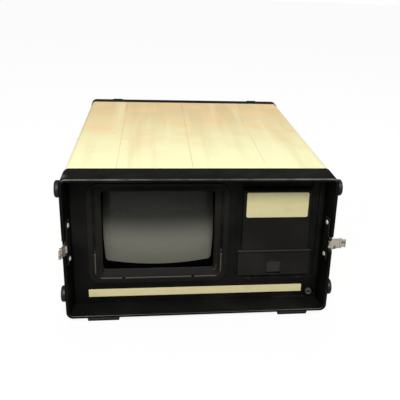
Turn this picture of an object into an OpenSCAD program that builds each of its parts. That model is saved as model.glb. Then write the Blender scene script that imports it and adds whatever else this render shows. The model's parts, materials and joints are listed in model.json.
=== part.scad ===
// Portable computer in a luggage-style case: picture tube and disk drive behind a deep front rim,
// painted covers between two moulded end frames, draw latches for a detachable front cover.
// Millimetres, +Z up, front of the case towards -Y. The case is laid out from the middle of its
// front rim, and at_case() moves it so that the origin is on the floor under the middle of its box.

/* [Case] */
// Width of the two end frames
case_w = 440; // [420:1:480]
// Height of the end frames, without the feet
case_h = 245; // [238:1:275]
// Depth from the front rim to the rear rim
case_d = 560; // [520:1:620]
// Radius of the frames' long corners
corner_r = 11; // [8:0.5:15]
// Rounding of the rims' outer edges
edge_r = 2.5; // [1.5:0.1:4]
// Depth of the front frame
front_d = 53; // [51:0.5:60]
// Depth of the rear frame
rear_d = 22.6; // [20:0.1:30]
// Length of the spigots that the covers slide over
spigot_d = 10; // [6:0.5:14]
// Wall of the spigots
spigot_t = 3; // [2:0.5:4]

/* [Covers] */
// How far the covers lie inside the frames' outline
cover_inset = 1.5; // [1:0.1:2.5]
// Thickness of the painted covers
cover_t = 2; // [1.5:0.1:2.5]
// Height of the seam between the upper and the lower cover
cover_seam_z = 24; // [18:1:40]
// Spacing of the pressed grooves in the top
groove_pitch = 124.5; // [110:0.5:135]
// Width of a groove
groove_w = 2.4; // [1.5:0.1:3]
// Depth of a groove
groove_d = 0.9; // [0.4:0.1:1.2]
// Sideways place of the middle groove
groove_x = -12; // [-20:1:20]
// Bare length left at each end of a groove
groove_end = 6; // [3:1:30]

/* [Front recess] */
// Wall of the front rim
rim_t = 5; // [4:0.5:6.5]
// Depth from the rim to the front panel
recess_d = 39.5; // [36:0.5:42]
// Slope of the side walls, as the loss of width on each side
side_draft = 6; // [4:0.5:8]
// Loss of height on the top and bottom walls
ledge_draft = 1; // [0.5:0.1:3]
// Thickness of the front panel
panel_t = 3; // [2.5:0.5:4]
// Width of the shoulder that the panel seats against
panel_seat = 4; // [3:0.5:4.5]

/* [Screen] */
// Distance of the screen's middle from the left side of the frame
screen_from_left = 151.4; // [150:0.1:156]
// Share of the recess's free height that lies under the bezel
screen_share = 0.433; // [0.3:0.001:0.6]
// Width of the clear opening
opening_w = 185.3; // [178:0.1:188]
// Height of the clear opening
opening_h = 139.8; // [134:0.1:142]
// Width of the step round the opening
step_w = 212; // [208:0.5:214]
// Height of the step round the opening
step_h = 164.7; // [160:0.1:166]
// Drop of the step's middle under the opening's
step_drop = 3.1; // [2:0.1:4]
// Width of the bezel
bezel_w = 232.8; // [228:0.1:236]
// Height of the bezel
bezel_h = 180.1; // [176:0.1:184]
// Drop of the bezel's middle under the opening's
bezel_drop = 4.3; // [3:0.1:5]
// How far the bezel stands in front of the panel
bezel_proud = 2.2; // [1.5:0.1:3]
// Depth of the tube's face behind the panel's front
tube_back = 22.5; // [20:0.5:28]
// Radius of the tube's face
face_r = 450; // [400:10:600]
// Width of the tube's face
tube_w = 187; // [184:1:190]
// Height of the tube's face
tube_h = 149; // [146:1:152]
// Length of the tube from its face to its pins
tube_len = 240; // [225:1:260]
// Diameter of the tube's neck
neck_d = 20; // [18:0.5:24]

/* [Disk bay] */
// Width of the bay's pocket
bay_w = 142.5; // [140:0.5:146]
// Gap between the pocket and the frame's right side
bay_from_right = 19; // [18:0.5:21]
// Height of the pocket's lower edge
bay_z = 48; // [46:0.5:50]
// Gap between the pocket and the top of the recess
bay_top_gap = 11; // [9:0.5:14]
// Depth of the pocket
bay_depth = 5; // [4.5:0.1:5.5]
// Wall of the pocket
bay_wall = 2.2; // [1.8:0.1:2.5]
// Gap between the flap and each side of the pocket
flap_side_gap = 7.75; // [6:0.25:10]
// Height of the flap from its lower edge to its hinge
flap_h = 46; // [44:0.5:48]
// Thickness of the flap
flap_t = 3.2; // [2.8:0.1:3.4]
// Diameter of the flap's hinge pin
flap_pin_d = 2.5; // [2:0.1:3]
// Width of the flap's finger scoop
scoop_w = 26; // [22:0.5:30]
// Gap between the plain panel and each side of the pocket
bay_panel_gap = 13; // [10:0.5:16]
// Height of the finger slot at the top of the bay
finger_slot_h = 13; // [10:0.5:14]
// Width of the drive's front
drive_w = 104; // [102:0.5:106]
// Height of the drive's front
drive_h = 34; // [33:0.5:36]
// Length of the drive's body
drive_len = 146; // [130:1:170]
// Height of the drive's slot
disk_slot_h = 5.2; // [4.5:0.1:6]
// Width of the eject button
button_w = 15; // [12:0.5:18]
// Height of the eject button
button_h = 6.5; // [5:0.5:8]
// Travel of the eject button
eject_travel = 3.2; // [2:0.1:3.5]

/* [Trim] */
// Width of the trim strip
strip_w = 368.5; // [360:0.5:372]
// Height of the trim strip
strip_h = 13.7; // [12:0.1:15]
// Height of the strip's middle
strip_z = 25.85; // [24:0.05:27]
// Width of the bare name plate
plate_w = 105.5; // [100:0.5:108]
// Height of the bare name plate
plate_h = 44.5; // [40:0.5:46]
// Diameter of the brightness knob
knob_d = 12; // [10:0.5:13]
// Diameter of the recess round the knob
knob_well_d = 19; // [17:0.5:20]

/* [Latches] */
// Height of the latches' middle
latch_z = 128.5; // [120:0.5:140]
// Width of a lever along its pin
lever_w = 20.5; // [18:0.5:22]
// Length of a lever from pin to pin
lever_len = 18.5; // [17:0.5:22]
// Length of a claw past its pin
claw_len = 8.6; // [8:0.1:11]
// Thickness of the latch sheet
latch_t = 1.2; // [1:0.1:1.5]
// Diameter of the latch pins
latch_pin_d = 2.4; // [2:0.1:2.6]
// Opening angle of the right lever as it rests
right_open = 90; // [70:1:100]
// Opening angle of the left lever as it rests
left_open = 15; // [5:1:60]
// Spacing of the rivets that hold a latch base
rivet_pitch = 58.5; // [54:0.5:64]

/* [Feet and bumpers] */
// Height of the feet under the case
foot_h = 6; // [4:0.5:10]
// Width of a foot
foot_w = 52.5; // [45:0.5:58]
// Depth of a foot
foot_d = 17; // [14:0.5:20]
// Spacing of the feet across the case
foot_pitch = 320.5; // [300:0.5:330]
// Diameter of a side bumper
bumper_d = 27; // [24:0.5:30]
// How far a bumper stands out
bumper_h = 7; // [5:0.5:9]
// Distance of the upper bumpers' middle from the frames' top
bumper_from_top = 20; // [16:0.5:26]
// Height of the lower bumpers' middle
bumper_low_z = 41; // [34:0.5:50]
// How far the rear posts stand out
post_h = 8; // [6:0.5:12]
// Width of a rear post
post_w = 24; // [20:0.5:28]

/* [Handle] */
// Length of the carrying handle between its pivots
handle_len = 164; // [150:1:190]
// Reach of the handle from its pivots to the middle of the grip
handle_reach = 62; // [56:1:70]
// Diameter of the grip
grip_d = 13; // [12:0.5:13.5]
// Height of the handle's pivots
handle_z = 138; // [120:1:160]

/* [Rear] */
// Depth of the rear panel behind the rear rim
rear_recess = 12; // [10:0.5:14]
// Thickness of the rear panel
rear_panel_t = 1.5; // [1.2:0.1:2]
// Size of the cooling fan
fan_w = 80; // [80:1:92]
// Thickness of the cooling fan
fan_t = 25; // [20:1:30]
// Gap between the fan's edge and its screws
fan_screw_inset = 4.25; // [4:0.05:5]
// Width of the inlet's hollow
inlet_w = 24.2; // [23:0.1:26]
// Height of the inlet's hollow
inlet_h = 16.2; // [15:0.1:18]
// Width of the power rocker
rocker_w = 22; // [18:0.5:26]
// Height of the power rocker
rocker_h = 14.8; // [12:0.2:18]
// Width of the smaller connector's shell
serial_w = 16.6; // [16:0.1:18]
// Spacing of the smaller connector's screws
serial_pitch = 25; // [24:0.1:26]
// Width of the larger connector's shell
printer_w = 38.4; // [37:0.1:40]
// Spacing of the larger connector's screws
printer_pitch = 47.04; // [46:0.01:48]
// Bore of the connectors' screw posts
post_bore = 2.84; // [2.6:0.02:3]

/* [Inside] */
// Width of the power supply
psu_w = 130; // [120:1:140]
// Depth of the power supply
psu_d = 165; // [150:1:175]
// Height of the power supply
psu_h = 80; // [60:1:100]
// Width of the main board
board_w = 215; // [200:1:220]
// Depth of the main board
board_d = 185; // [170:1:195]
// Thickness of the circuit boards
board_t = 1.6; // [1.2:0.1:2]
// Height of the main board's pillars
pillar_h = 8; // [6:0.5:12]
// Height of the processor card
card_h = 85; // [70:1:100]
// Diameter of the deflection yoke's flange
yoke_d = 76; // [70:1:80]
// Length of the deflection yoke
yoke_len = 45; // [40:1:50]
// Width of the board on the tube's neck
neck_board_w = 64; // [56:1:70]

/* [Hidden] */
$fn = 64;

black_plastic = [0.13, 0.13, 0.125];
black_rubber = [0.07, 0.07, 0.07];
cream_paint = [0.93, 0.88, 0.70];
khaki_plate = [0.72, 0.68, 0.50];
nickel = [0.74, 0.71, 0.67];
steel_zinc = [0.66, 0.66, 0.64];
board_green = [0.12, 0.33, 0.20];
glass_grey = [0.45, 0.46, 0.42];
dark_steel = [0.25, 0.25, 0.25];
copper = [0.62, 0.34, 0.18];

eps = 0.01;
seat_gap = 0.2;
run_gap = 0.05;
move_gap = 0.5;
tool_past = 1;

half_w = case_w / 2;
mid_z = case_h / 2;
lever_x = half_w - rim_t - 1;
lever_y = 1;
right_reach = lever_x + lever_len + claw_len;
left_reach = half_w + bumper_h;
claw_lip = 2.6;
front_reach = (lever_len + claw_len) * cos(left_open) + claw_lip * sin(left_open) - lever_y;
shift_x = (left_reach - right_reach) / 2;
shift_y = (front_reach - case_d - post_h) / 2;

mouth_w = case_w - 2 * rim_t;
mouth_h = case_h - 2 * rim_t;
floor_w = mouth_w - 2 * side_draft;
floor_h = mouth_h - 2 * ledge_draft;
seat_w = floor_w + 2 * panel_seat;
seat_h = floor_h + 2 * panel_seat;
seat_r = 4;
mouth_r = 7;
draft_angle = atan(side_draft / recess_d);
recess_top = case_h - rim_t - ledge_draft;

cover_w = case_w - 2 * cover_inset;
cover_h = case_h - 2 * cover_inset;
cover_r = corner_r - cover_inset;
cover_y0 = front_d;
cover_y1 = case_d - rear_d;
spigot_w = cover_w - 2 * cover_t - 2 * seat_gap;
spigot_h = cover_h - 2 * cover_t - 2 * seat_gap;
spigot_r = cover_r - cover_t;

strip_top = strip_z + strip_h / 2;
screen_x = -half_w + screen_from_left;
screen_z = strip_top + screen_share * (recess_top - strip_top - bezel_h) + bezel_h / 2 + bezel_drop;
face_y = recess_d + tube_back;
neck_y = face_y + 150;
neck_cone = 20;
bezel_slope = 5;
collar_d = tube_back + 17.5;
collar_t = 2.4;
collar_gap = 1.5;
mask_t = 3;
mask_gap = 0.5;
skirt_d = 46;
funnel_d = 34;

bay_x1 = half_w - bay_from_right;
bay_x0 = bay_x1 - bay_w;
bay_x = (bay_x0 + bay_x1) / 2;
bay_z1 = recess_top - bay_top_gap;
bay_floor_y = recess_d + bay_depth;
bay_floor_t = 2.8;
flap_w = bay_w - 2 * flap_side_gap;
flap_z0 = bay_z + 4;
hinge_z = flap_z0 + flap_h;
barrel_r = 3;
hinge_y = bay_floor_y - barrel_r - move_gap;
lug_t = 3;
lug_gap = 0.4;
slot_z = bay_z1 - 10;
slot_wall = 2;
slot_depth = 10;
bay_panel_w = bay_w - 2 * bay_panel_gap;
bay_panel_z0 = hinge_z + barrel_r + 0.7;
bay_panel_z1 = slot_z - finger_slot_h / 2 - slot_wall;
bay_panel_rim = 1.2;
window_gap = 2;
window_w = drive_w + 2 * window_gap;
window_h = drive_h + 2 * window_gap;
window_z = flap_z0 + flap_h / 2 + 1;
drive_y = bay_floor_y + bay_floor_t + 2.4;
drive_body_w = drive_w - 2.4;
drive_body_h = drive_h - 3;
drive_front_t = 4;
disk_z = window_z + 7.2;
disk_w = drive_w - 12;
disk_deep = 40;
button_back_y = drive_y + 9;
stem_d = 4;
stem_len = 12;
button_x = bay_x + drive_w / 2 - button_w / 2 - 6.5;
button_z = window_z - 9;

knob_x = half_w - 23.5;
knob_z = 16.4;
well_depth = 9;
well_wall = 2;
shaft_d = 4;
shaft_hole_d = 7.4;

plate_z = bay_panel_z1 - plate_h / 2 - 3;
plate_t = 1.2;
plate_back_y = recess_d + seat_gap + 0.7;

latch_hole = latch_pin_d / 2 + run_gap;
knuckle_r = latch_pin_d / 2 + latch_t;
knuckle_h = 4.6;
notch_h = lever_w + 5;
claw_w = 14;
claw_rise = 1.5;
claw_end_w = claw_w + 3;
claw_knuckle = 3.4;
rivet_y = 17;
rivet_rise = 4.3;
rivet_d = 5;

bumper_y = 14;
bumper_top_z = case_h - bumper_from_top;
screw_d = 4;
screw_grip = 5;

handle_y = case_d / 2;
bracket_w = 22;
bracket_h = 26;
handle_axis_x = half_w - cover_inset + grip_d / 2 + 1;
handle_pin_d = 6;

rear_panel_y = case_d - rear_recess - rear_panel_t;
fan_screw_pitch = fan_w - 2 * fan_screw_inset;
fan_x = -120;
fan_z = mid_z + 20;
fan_bore_d = fan_w - 4;
fan_hub_d = 34;
fan_strut_t = 3;
fan_shaft_d = 5;
fan_hole_d = 4.3;
fan_y1 = rear_panel_y - seat_gap;
fan_y0 = fan_y1 - fan_t;

// Moves the case to its place over the origin
module at_case() {
    translate([shift_x, shift_y, foot_h]) children();
}

// Flat rectangle with round corners
module rounded(w, h, r) {
    square([w - 2 * r, h], center = true);
    square([w, h - 2 * r], center = true);
    for (sx = [-1, 1], sz = [-1, 1])
        translate([sx * (w / 2 - r), sz * (h / 2 - r)]) circle(r);
}

// Flat outline, drawn in X and Z, pushed along Y from y0 to y1
module along_y(y0, y1) {
    translate([0, y1, 0]) rotate([90, 0, 0]) linear_extrude(y1 - y0) children();
}

// Flat outline, drawn in Y and Z, pushed along X from x0 to x1
module along_x(x0, x1) {
    translate([x0, 0, 0]) rotate([90, 0, 90]) linear_extrude(x1 - x0) children();
}

// Round bar along Y
module rod_y(d, y0, y1) {
    translate([0, y1, 0]) rotate([90, 0, 0]) cylinder(d = d, h = y1 - y0);
}

// Round bar along X
module rod_x(d, x0, x1) {
    translate([x0, 0, 0]) rotate([0, 90, 0]) cylinder(d = d, h = x1 - x0);
}

// Block from its lowest to its highest corner
module block(low, high) {
    translate(low) cube(high - low);
}

// Profile of a slab's rounded edge: half width w, from 0 to d, rounded by e at 0
module edge_profile(w, d, e) {
    intersection() {
        translate([-w, 0]) square([2 * w, d]);
        union() {
            translate([-w, e]) square([2 * w, d]);
            translate([-w + e, 0]) square([2 * (w - e), d]);
            for (s = [-1, 1]) translate([s * (w - e), e]) circle(e);
        }
    }
}

// Slab along Y with round corners, whose edge at y = 0 is rounded by e
module soft_slab(w, h, d, r, e) {
    rotate([0, 90, 0]) translate([0, 0, -(w / 2 - r)]) linear_extrude(w - 2 * r) edge_profile(h / 2, d, e);
    translate([0, 0, -(h / 2 - r)]) linear_extrude(h - 2 * r) edge_profile(w / 2, d, e);
    for (sx = [-1, 1], sz = [-1, 1]) translate([sx * (w / 2 - r), 0, sz * (h / 2 - r)])
        rotate([-90, 0, 0]) rotate_extrude() intersection() {
            edge_profile(r, d, e);
            square([r, d]);
        }
}

// Tapered hollow of the front recess, from the mouth to the panel
module recess_cut() {
    intersection() {
        linear_extrude(case_h) polygon([
            [-mouth_w / 2, -tool_past], [mouth_w / 2, -tool_past], [mouth_w / 2, 0],
            [floor_w / 2, recess_d], [floor_w / 2, recess_d + tool_past],
            [-floor_w / 2, recess_d + tool_past], [-floor_w / 2, recess_d], [-mouth_w / 2, 0]
        ]);
        along_x(-half_w, half_w) polygon([
            [-tool_past, rim_t], [0, rim_t], [recess_d, rim_t + ledge_draft],
            [recess_d + tool_past, rim_t + ledge_draft],
            [recess_d + tool_past, case_h - rim_t - ledge_draft],
            [recess_d, case_h - rim_t - ledge_draft], [0, case_h - rim_t], [-tool_past, case_h - rim_t]
        ]);
        translate([0, 0, mid_z]) along_y(-tool_past, recess_d + tool_past)
            rounded(mouth_w, mouth_h, mouth_r);
    }
}

// Slots in the lower rim that take the front cover's hooks
module hook_slots() {
    hook_w = 16;
    hook_d = 2.6;
    hook_y = 4.2;
    for (s = [-1, 1]) translate([s * (foot_pitch / 2 + 4), hook_y, 0])
        cube([hook_w, hook_d, 2 * (rim_t + tool_past)], center = true);
}

// Openings in the rim's side walls that the latches pass through
module latch_notches() {
    notch_d = 8;
    for (s = [-1, 1]) translate([s * half_w, 0, latch_z])
        cube([4 * rim_t, 2 * notch_d, notch_h], center = true);
}

// One child at each bumper of one side, with X pointing out of the case
module at_bumpers() {
    for (y = [bumper_y, case_d - bumper_y], z = [bumper_low_z, bumper_top_z])
        translate([half_w, y, z]) children();
}

module rivet_places() {
    for (s = [-1, 1]) translate([0, 0, latch_z + rivet_rise + s * rivet_pitch / 2]) children();
}

// Moves from the case's axes to the right side wall of the recess: X out of it, Y along its depth
module at_side_wall() {
    translate([mouth_w / 2, 0, 0]) rotate([0, 0, draft_angle]) children();
}

module both_sides() {
    children();
    mirror([1, 0, 0]) children();
}

module front_frame() {
    color(black_plastic) at_case() difference() {
        union() {
            translate([0, 0, mid_z]) soft_slab(case_w, case_h, front_d, corner_r, edge_r);
            translate([0, 0, mid_z]) along_y(front_d - tool_past, front_d + spigot_d)
                rounded(spigot_w, spigot_h, spigot_r);
        }
        recess_cut();
        translate([0, 0, mid_z]) along_y(recess_d, front_d) rounded(seat_w, seat_h, seat_r);
        translate([0, 0, mid_z]) along_y(front_d - tool_past, front_d + spigot_d + tool_past)
            rounded(spigot_w - 2 * spigot_t, spigot_h - 2 * spigot_t, seat_r);
        hook_slots();
        latch_notches();
        both_sides() at_side_wall() translate([0, rivet_y, 0]) rivet_places()
            rod_x(rivet_d, -tool_past, 4 * rim_t);
        both_sides() at_bumpers() rod_x(screw_d, -screw_grip - move_gap, tool_past);
        at_tray_screws() translate([0, 0, -spigot_t]) cylinder(d = tray_screw_d, h = 4 * spigot_t);
    }
}

module rear_frame() {
    boss_w = 15;
    boss_d = 12;
    color(black_plastic) at_case() difference() {
        union() {
            difference() {
                union() {
                    translate([0, case_d, mid_z]) rotate([0, 0, 180])
                        soft_slab(case_w, case_h, rear_d, corner_r, edge_r);
                    translate([0, 0, mid_z]) along_y(cover_y1 - spigot_d, cover_y1 + tool_past)
                        rounded(spigot_w, spigot_h, spigot_r);
                }
                translate([0, 0, mid_z]) along_y(cover_y1 - spigot_d - tool_past, case_d)
                    rounded(spigot_w - 2 * spigot_t, spigot_h - 2 * spigot_t, seat_r);
            }
            intersection() {
                at_panel_screws() along_y(rear_panel_y - boss_d, rear_panel_y + eps)
                    rounded(boss_w, boss_w, 3);
                translate([0, 0, mid_z]) along_y(0, case_d) rounded(spigot_w, spigot_h, spigot_r);
            }
        }
        translate([0, 0, mid_z]) along_y(rear_panel_y, case_d + tool_past)
            rounded(mouth_w - 2, mouth_h - 2, mouth_r);
        at_panel_screws() rod_y(screw_d, rear_panel_y - boss_d + 3, case_d);
        both_sides() at_bumpers() rod_x(screw_d, -screw_grip - move_gap, tool_past);
        at_tray_screws() translate([0, 0, -spigot_t]) cylinder(d = tray_screw_d, h = 4 * spigot_t);
    }
}

// Outline of the covers as one ring, in X and Z
module cover_ring() {
    translate([0, mid_z]) difference() {
        rounded(cover_w, cover_h, cover_r);
        rounded(cover_w - 2 * cover_t, cover_h - 2 * cover_t, cover_r - cover_t);
    }
}

module top_cover() {
    color(cream_paint) at_case() difference() {
        intersection() {
            along_y(cover_y0 + seat_gap, cover_y1 - seat_gap) cover_ring();
            block([-case_w, 0, cover_seam_z], [case_w, case_d, 2 * case_h]);
        }
        for (i = [-1, 0, 1]) translate([groove_x + i * groove_pitch, 0, mid_z + cover_h / 2])
            along_y(cover_y0 + groove_end, cover_y1 - groove_end) polygon([
                [-groove_w / 2 - groove_w, groove_d], [groove_w / 2 + groove_w, groove_d],
                [groove_w / 2, 0], [0, -groove_d], [-groove_w / 2, 0]
            ]);
    }
}

module bottom_cover() {
    color(cream_paint) at_case() intersection() {
        along_y(cover_y0 + seat_gap, cover_y1 - seat_gap) cover_ring();
        block([-case_w, 0, -case_h], [case_w, case_d, cover_seam_z - seat_gap]);
    }
}

tray_t = 1.5;
tray_z = mid_z - spigot_h / 2 + spigot_t + seat_gap;
tray_w = spigot_w - 2 * spigot_t - 6;
tray_lip = 16;
tray_lap = 6;
tray_y0 = front_d + spigot_d - tray_lap;
tray_y1 = cover_y1 - spigot_d + tray_lap;
tray_screw_d = 3;

// Screws that hold the tray's ends to the spigots
module at_tray_screws() {
    for (sx = [-1, 1], y = [tray_y0 + tray_lap / 2, tray_y1 - tray_lap / 2])
        translate([sx * tray_w * 0.4, y, tray_z]) children();
}

module tray_screws() {
    color(steel_zinc) at_case() at_tray_screws() difference() {
        union() {
            translate([0, 0, -spigot_t + seat_gap])
                cylinder(d = tray_screw_d - 2 * run_gap, h = spigot_t + tray_t);
            translate([0, 0, tray_t + run_gap]) cylinder(d = 5.6, h = 2);
        }
        translate([0, 0, tray_t + 2]) cube([4.6, 0.8, 1.6], center = true);
    }
}

module chassis_tray() {
    vent_w = 4;
    vent_l = 60;
    vent_pitch = 12;
    color(steel_zinc) at_case() difference() {
        block([-tray_w / 2, tray_y0, tray_z], [tray_w / 2, tray_y1, tray_z + tray_lip]);
        block(
            [-tray_w / 2 + tray_t, tray_y0 - tool_past, tray_z + tray_t],
            [tray_w / 2 - tray_t, tray_y1 + tool_past, tray_z + tray_lip + tool_past]
        );
        for (i = [-3 : 3]) translate([screen_x + i * vent_pitch, tray_y0 + 60, 0])
            block([-vent_w / 2, 0, tray_z - tool_past], [vent_w / 2, vent_l, tray_z + tray_t + tool_past]);
        at_tray_screws() cylinder(d = tray_screw_d + 2 * run_gap, h = 4 * spigot_t, center = true);
    }
}

module front_panel() {
    nub = [9, 3, 2.4];
    nub_x = 46;
    ledge_x = 132;
    ledge_h = 2;
    slot_w = bay_panel_w + 4.5;
    color(black_plastic) at_case() difference() {
        union() {
            translate([0, 0, mid_z]) along_y(recess_d, recess_d + panel_t)
                rounded(seat_w - 2 * seat_gap, seat_h - 2 * seat_gap, seat_r - seat_gap);
            block(
                [bay_x0 - bay_wall, recess_d + eps, bay_z - bay_wall],
                [bay_x1 + bay_wall, bay_floor_y + bay_floor_t, bay_z1 + bay_wall]
            );
            translate([bay_x, bay_floor_y, slot_z])
                slot_tray(slot_w + 2 * slot_wall, finger_slot_h + 2 * slot_wall, slot_depth + slot_wall);
            translate([knob_x, 0, knob_z])
                rod_y(knob_well_d + 2 * well_wall, recess_d + eps, recess_d + well_depth + well_wall);
            for (s = [-1, 1]) translate([bay_x + s * nub_x, recess_d - 1.2, bay_z - 2.2])
                cube(nub, center = true);
            block(
                [ledge_x, recess_d - 3, rim_t + ledge_draft + seat_gap],
                [floor_w / 2 - 6, recess_d + eps, rim_t + ledge_draft + seat_gap + ledge_h]
            );
        }
        block([bay_x0, recess_d - tool_past, bay_z], [bay_x1, bay_floor_y, bay_z1]);
        translate([bay_x, 0, window_z]) block(
            [-window_w / 2, 0, -window_h / 2], [window_w / 2, case_d, window_h / 2]
        );
        translate([bay_x, recess_d, slot_z]) slot_tray(slot_w, finger_slot_h, bay_depth + slot_depth);
        translate([screen_x, 0, screen_z - step_drop]) along_y(0, case_d)
            rounded(step_w + 2, step_h + 2, 15);
        translate([knob_x, 0, knob_z]) rod_y(knob_well_d, 0, recess_d + well_depth);
        translate([knob_x, 0, knob_z]) rod_y(shaft_hole_d, 0, case_d);
    }
    color(black_plastic) at_case() for (s = [-1, 1])
        translate([bay_x + s * (flap_w / 2 + lug_gap + lug_t / 2), 0, hinge_z]) difference() {
            block([-lug_t / 2, hinge_y - barrel_r, -barrel_r], [lug_t / 2, bay_floor_y + eps, barrel_r]);
            translate([0, hinge_y, 0]) rod_x(flap_pin_d + 2 * run_gap, -lug_t, lug_t);
        }
}

// Block w by h in X and Z around the axis, from Y = 0 to d
module slot_tray(w, h, d) {
    block([-w / 2, 0, -h / 2], [w / 2, d, h / 2]);
}

module screen_bezel() {
    collar_y = recess_d + collar_d;
    flare_y = face_y + 4;
    slice = 0.1;
    inner_w = tube_w + 2 * collar_gap;
    inner_h = tube_h + 2 * collar_gap;
    notch = 4.5;
    notches = [[-step_w / 2, -34], [step_w / 2, -36.5], [-59, -step_h / 2], [57.7, -step_h / 2]];
    color(black_plastic) at_case() difference() {
        union() {
            translate([screen_x, recess_d - bezel_proud, screen_z - bezel_drop])
                soft_slab(bezel_w, bezel_h, bezel_proud, 20, 1.2);
            translate([screen_x, 0, screen_z - step_drop]) along_y(recess_d - eps, recess_d + panel_t)
                rounded(step_w + 1.4, step_h + 1.4, 14.7);
            translate([screen_x, 0, screen_z]) along_y(recess_d, collar_y)
                rounded(inner_w + 2 * collar_t, inner_h + 2 * collar_t, 16);
        }
        translate([screen_x, 0, screen_z - step_drop]) along_y(0, recess_d - 2 * slice)
            rounded(step_w, step_h, 14);
        hull() {
            translate([screen_x, 0, screen_z - step_drop])
                along_y(recess_d - 3 * slice, recess_d - 2 * slice)
                rounded(step_w - 5, step_h - 5, 12, $fn = 32);
            bezel_throat(recess_d + bezel_slope, slice);
        }
        hull() {
            bezel_throat(recess_d + bezel_slope, slice);
            translate([screen_x, 0, screen_z]) along_y(flare_y - slice, flare_y)
                rounded(inner_w, inner_h, 14, $fn = 32);
        }
        translate([screen_x, 0, screen_z]) along_y(flare_y - slice, collar_y - mask_t)
            rounded(inner_w, inner_h, 14);
        translate([screen_x, 0, screen_z]) along_y(collar_y - mask_t - tool_past, collar_y + tool_past)
            tube_outline(mask_gap);
        for (p = notches) translate([screen_x + p[0], recess_d, screen_z - step_drop + p[1]])
            cube([notch, 5, notch], center = true);
    }
}

// Thin slice at the narrowest part of the bezel
module bezel_throat(y, slice) {
    translate([screen_x, 0, screen_z]) along_y(y, y + slice) rounded(opening_w, opening_h, 5, $fn = 32);
}

// Outline of the tube's glass: four bowed sides and cut corners, grown by g
module tube_outline(g) {
    bow = 900;
    intersection() {
        translate([bow - tube_w / 2 - g, 0]) circle(bow, $fn = 256);
        translate([-bow + tube_w / 2 + g, 0]) circle(bow, $fn = 256);
        translate([0, bow - tube_h / 2 - g]) circle(bow, $fn = 256);
        translate([0, -bow + tube_h / 2 + g]) circle(bow, $fn = 256);
        circle(norm([tube_w, tube_h]) / 2 - 7 + g, $fn = 96);
    }
}

module picture_tube() {
    skirt_y = face_y + skirt_d;
    funnel_y = skirt_y + funnel_d;
    throat_r = 26;
    color(glass_grey) at_case() translate([screen_x, 0, screen_z]) {
        intersection() {
            along_y(face_y - tool_past, skirt_y) tube_outline(0);
            translate([0, face_y + face_r, 0]) sphere(face_r, $fn = 128);
        }
        hull() {
            along_y(skirt_y - eps, skirt_y) rounded(tube_w - 8, tube_h - 8, 30, $fn = 32);
            along_y(funnel_y, funnel_y + eps) rounded(tube_w - 62, tube_h - 46, 40, $fn = 32);
        }
        hull() {
            along_y(funnel_y, funnel_y + eps) rounded(tube_w - 62, tube_h - 46, 40, $fn = 32);
            along_y(neck_y - neck_cone, neck_y - neck_cone + eps) circle(throat_r, $fn = 32);
        }
        hull() {
            along_y(neck_y - neck_cone, neck_y - neck_cone + eps) circle(throat_r, $fn = 32);
            along_y(neck_y, neck_y + eps) circle(d = neck_d, $fn = 32);
        }
        rod_y(neck_d, neck_y, face_y + tube_len);
    }
}

band_w = 20;
band_t = 1.2;
band_y0 = recess_d + collar_d + 2.5;
ear_t = 1.6;
ear_w = 22;
ear_x = tube_w / 2 + 2;
ear_z = tube_h / 2 + 2;

module at_ears() {
    for (sx = [-1, 1], sz = [-1, 1])
        translate([screen_x + sx * ear_x, 0, screen_z + sz * ear_z]) children();
}

module tube_band() {
    color(steel_zinc) at_case() difference() {
        union() {
            translate([screen_x, 0, screen_z]) along_y(band_y0, band_y0 + band_w)
                tube_outline(seat_gap + band_t);
            at_ears() along_y(band_y0, band_y0 + ear_t) rounded(ear_w, ear_w, 5);
        }
        translate([screen_x, 0, screen_z]) along_y(0, case_d) tube_outline(seat_gap);
        at_ears() rod_y(screw_d + 2 * seat_gap, 0, case_d);
    }
}

// Screws with spacers that hold the band's ears behind the bezel's collar
module tube_screws() {
    y0 = recess_d + collar_d + seat_gap;
    color(steel_zinc) at_case() at_ears() {
        rod_y(8.5, y0, band_y0 - seat_gap);
        rod_y(screw_d, y0, band_y0 + ear_t + 1);
        rod_y(7, band_y0 + ear_t + seat_gap / 2, band_y0 + ear_t + 2.8);
    }
}

module deflection_yoke() {
    flange_t = 5;
    color(copper) at_case() translate([screen_x, neck_y + 2, screen_z]) rotate([-90, 0, 0])
        rotate_extrude() difference() {
            union() {
                square([yoke_d / 2, flange_t]);
                translate([0, flange_t]) square([yoke_d * 0.4, yoke_len * 0.55]);
                translate([0, yoke_len * 0.65]) square([yoke_d * 0.43, 0.08 * yoke_len]);
                square([neck_d * 0.75, yoke_len]);
            }
            translate([-tool_past, -tool_past]) square([neck_d / 2 + seat_gap + tool_past, 2 * yoke_len]);
        }
}

module neck_board() {
    board_y = face_y + tube_len - 4;
    socket_d = neck_d + 8;
    half = neck_board_w / 2;
    color(board_green) at_case() translate([screen_x, 0, screen_z]) difference() {
        union() {
            along_y(board_y, board_y + board_t) rounded(neck_board_w, neck_board_w, 3);
            rod_y(socket_d, board_y - 10, board_y + 5);
            block([-half + 6, board_y + board_t - eps, -half + 4], [-half + 18, board_y + 12, -half + 16]);
            block([half - 20, board_y + board_t - eps, half - 18], [half - 6, board_y + 9, half - 8]);
        }
        rod_y(neck_d + 2 * seat_gap, board_y - 20, face_y + tube_len + seat_gap);
    }
}

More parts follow.
